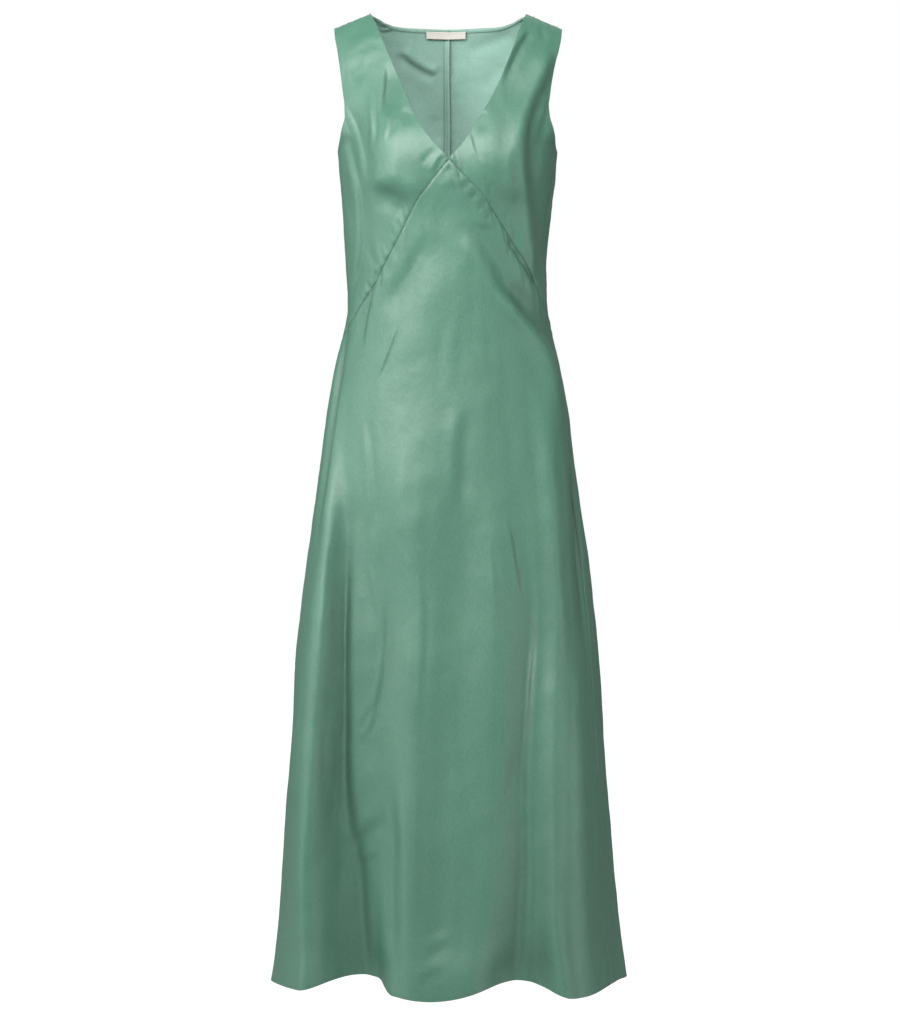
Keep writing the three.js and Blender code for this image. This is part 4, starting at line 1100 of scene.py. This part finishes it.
# ---------------------------------------------------------------- riding, and the cut
for name, (obj, node) in pieces.items():
    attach(obj, "root")
    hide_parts(node)
for name, thread in hem_threads + [("left_back_panel", allowance)]:
    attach(thread, "root")
for obj, node, slot, flat, on in ((binding, "back_neck_binding", "satin", (0.245, 0.010), ["left_back_panel", "right_back_panel"]),
                                  (label, "neck_label", "label", (0.064, 0.0102), ["back_neckline_binding"])):
    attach(obj, "root")
    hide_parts(node)
for name in pieces:
    g = GRIDS[name][0] / 1000
    print("cut", name, "rows", [round(float(np.linalg.norm(np.diff(g[r], axis=0), axis=1).sum()), 3) for r in (0, len(g) // 4, len(g) // 2, 3 * len(g) // 4, len(g) - 2)],
          "columns", [round(float(np.linalg.norm(np.diff(g[:, c], axis=0), axis=1).sum()), 3) for c in (0, g.shape[1] // 2, g.shape[1] - 1)])
print("areas", {n: round(area_of(o), 4) for n, (o, _) in pieces.items()}, round(area_of(binding), 5), round(area_of(label), 5))

# ---------------------------------------------------------------- stage, light and camera
def stage_material(name, value):
    m, tree, bsdf = nodes_of(name)
    grain = add(tree, "ShaderNodeTexNoise", Scale=3.0, Detail=2.0)
    tree.links.new(place(tree, (1, 1, 1)), grain.inputs["Vector"])
    tone = add(tree, "ShaderNodeValToRGB")
    tone.color_ramp.elements[0].color = (value * 0.985,) * 3 + (1,)
    tone.color_ramp.elements[1].color = (value, value, value, 1)
    tree.links.new(grain.outputs["Fac"], tone.inputs["Fac"])
    tree.links.new(tone.outputs["Color"], bsdf.inputs["Base Color"])
    bsdf.inputs["Roughness"].default_value = 0.9
    bsdf.inputs["Specular IOR Level"].default_value = 0.1
    made = bsdf.outputs["BSDF"].links[0].to_node
    glow, which, mixed, part = [tree.nodes.new(k) for k in ("ShaderNodeEmission", "ShaderNodeLightPath", "ShaderNodeMixShader", "ShaderNodeMath")]
    part.operation = "MULTIPLY"
    part.inputs[1].default_value = 0.92
    glow.inputs["Color"].default_value = (1, 1, 1, 1)
    glow.inputs["Strength"].default_value = 1.15
    tree.links.new(which.outputs["Is Camera Ray"], part.inputs[0])
    tree.links.new(part.outputs["Value"], mixed.inputs["Fac"])
    tree.links.new(bsdf.outputs["BSDF"], mixed.inputs[1])
    tree.links.new(glow.outputs["Emission"], mixed.inputs[2])
    tree.links.new(mixed.outputs["Shader"], made.inputs["Surface"])
    return m


AMBIENT = 0.2
R = 14000
floor = make_mesh("studio_floor", [(-R, -R, -1430), (R, -R, -1430), (R, R, -1430), (-R, R, -1430)], [(0, 1, 2, 3)], [0],
                  [stage_material("pale_floor", 0.5)], False)

world = bpy.data.worlds.new("studio")
bpy.context.scene.world = world
world.use_nodes = True
wt = world.node_tree
wt.nodes.clear()
wo = wt.nodes.new("ShaderNodeOutputWorld")
seen_white, ambient, which, mixed = [wt.nodes.new(k) for k in ("ShaderNodeBackground", "ShaderNodeBackground", "ShaderNodeLightPath", "ShaderNodeMixShader")]
seen_white.inputs["Strength"].default_value = 1.0
ambient.inputs["Strength"].default_value = AMBIENT
seen_white.inputs["Color"].default_value = ambient.inputs["Color"].default_value = (1, 1, 1, 1)
wt.links.new(which.outputs["Is Camera Ray"], mixed.inputs["Fac"])
wt.links.new(ambient.outputs["Background"], mixed.inputs[1])
wt.links.new(seen_white.outputs["Background"], mixed.inputs[2])
wt.links.new(mixed.outputs["Shader"], wo.inputs["Surface"])


def area_light(name, at, target, size, power, colour=(1, 1, 1)):
    data = bpy.data.lights.new(name, "AREA")
    data.shape = "RECTANGLE"
    data.size, data.size_y = size
    data.energy = power
    data.color = colour
    obj = bpy.data.objects.new(name, data)
    obj.location = at
    obj.rotation_mode = "QUATERNION"
    obj.rotation_quaternion = (Vector(target) - Vector(at)).to_track_quat("-Z", "Y")
    bpy.context.scene.collection.objects.link(obj)
    return obj


area_light("key_softbox", (-1.35, -1.75, 0.55), (0, 0, -0.4), (1.0, 1.3), 38)
area_light("left_softbox", (-2.2, -0.35, -0.35), (0, 0, -0.5), (0.8, 1.8), 11)
area_light("front_softbox", (0.0, -1.75, 0.85), (0, 0, -0.25), (1.3, 0.9), 32)
area_light("chest_softbox", (0.35, -1.35, 1.6), (0.05, 0, -0.12), (0.8, 0.6), 4)
area_light("fill_softbox", (2.1, -1.0, -0.95), (0, 0, -0.95), (0.8, 1.2), 8)
area_light("back_softbox", (0.2, 1.5, 2.3), (0, 0.1, -0.5), (1.4, 1.0), 16)

cam_data = bpy.data.cameras.new("camera")
cam = bpy.data.objects.new("camera", cam_data)
bpy.context.scene.collection.objects.link(cam)
cam_data.sensor_width = 36
cam_data.lens = 2733.5 / 1018 * 36
cam_data.clip_start, cam_data.clip_end = 0.05, 60
cam.location = (CAM_X / 1000, -CAM_D / 1000, CAM_Z / 1000)
cam.rotation_euler = (math.pi / 2, 0, 0)
bpy.context.scene.camera = cam
bpy.context.scene.view_settings.view_transform = "Standard"
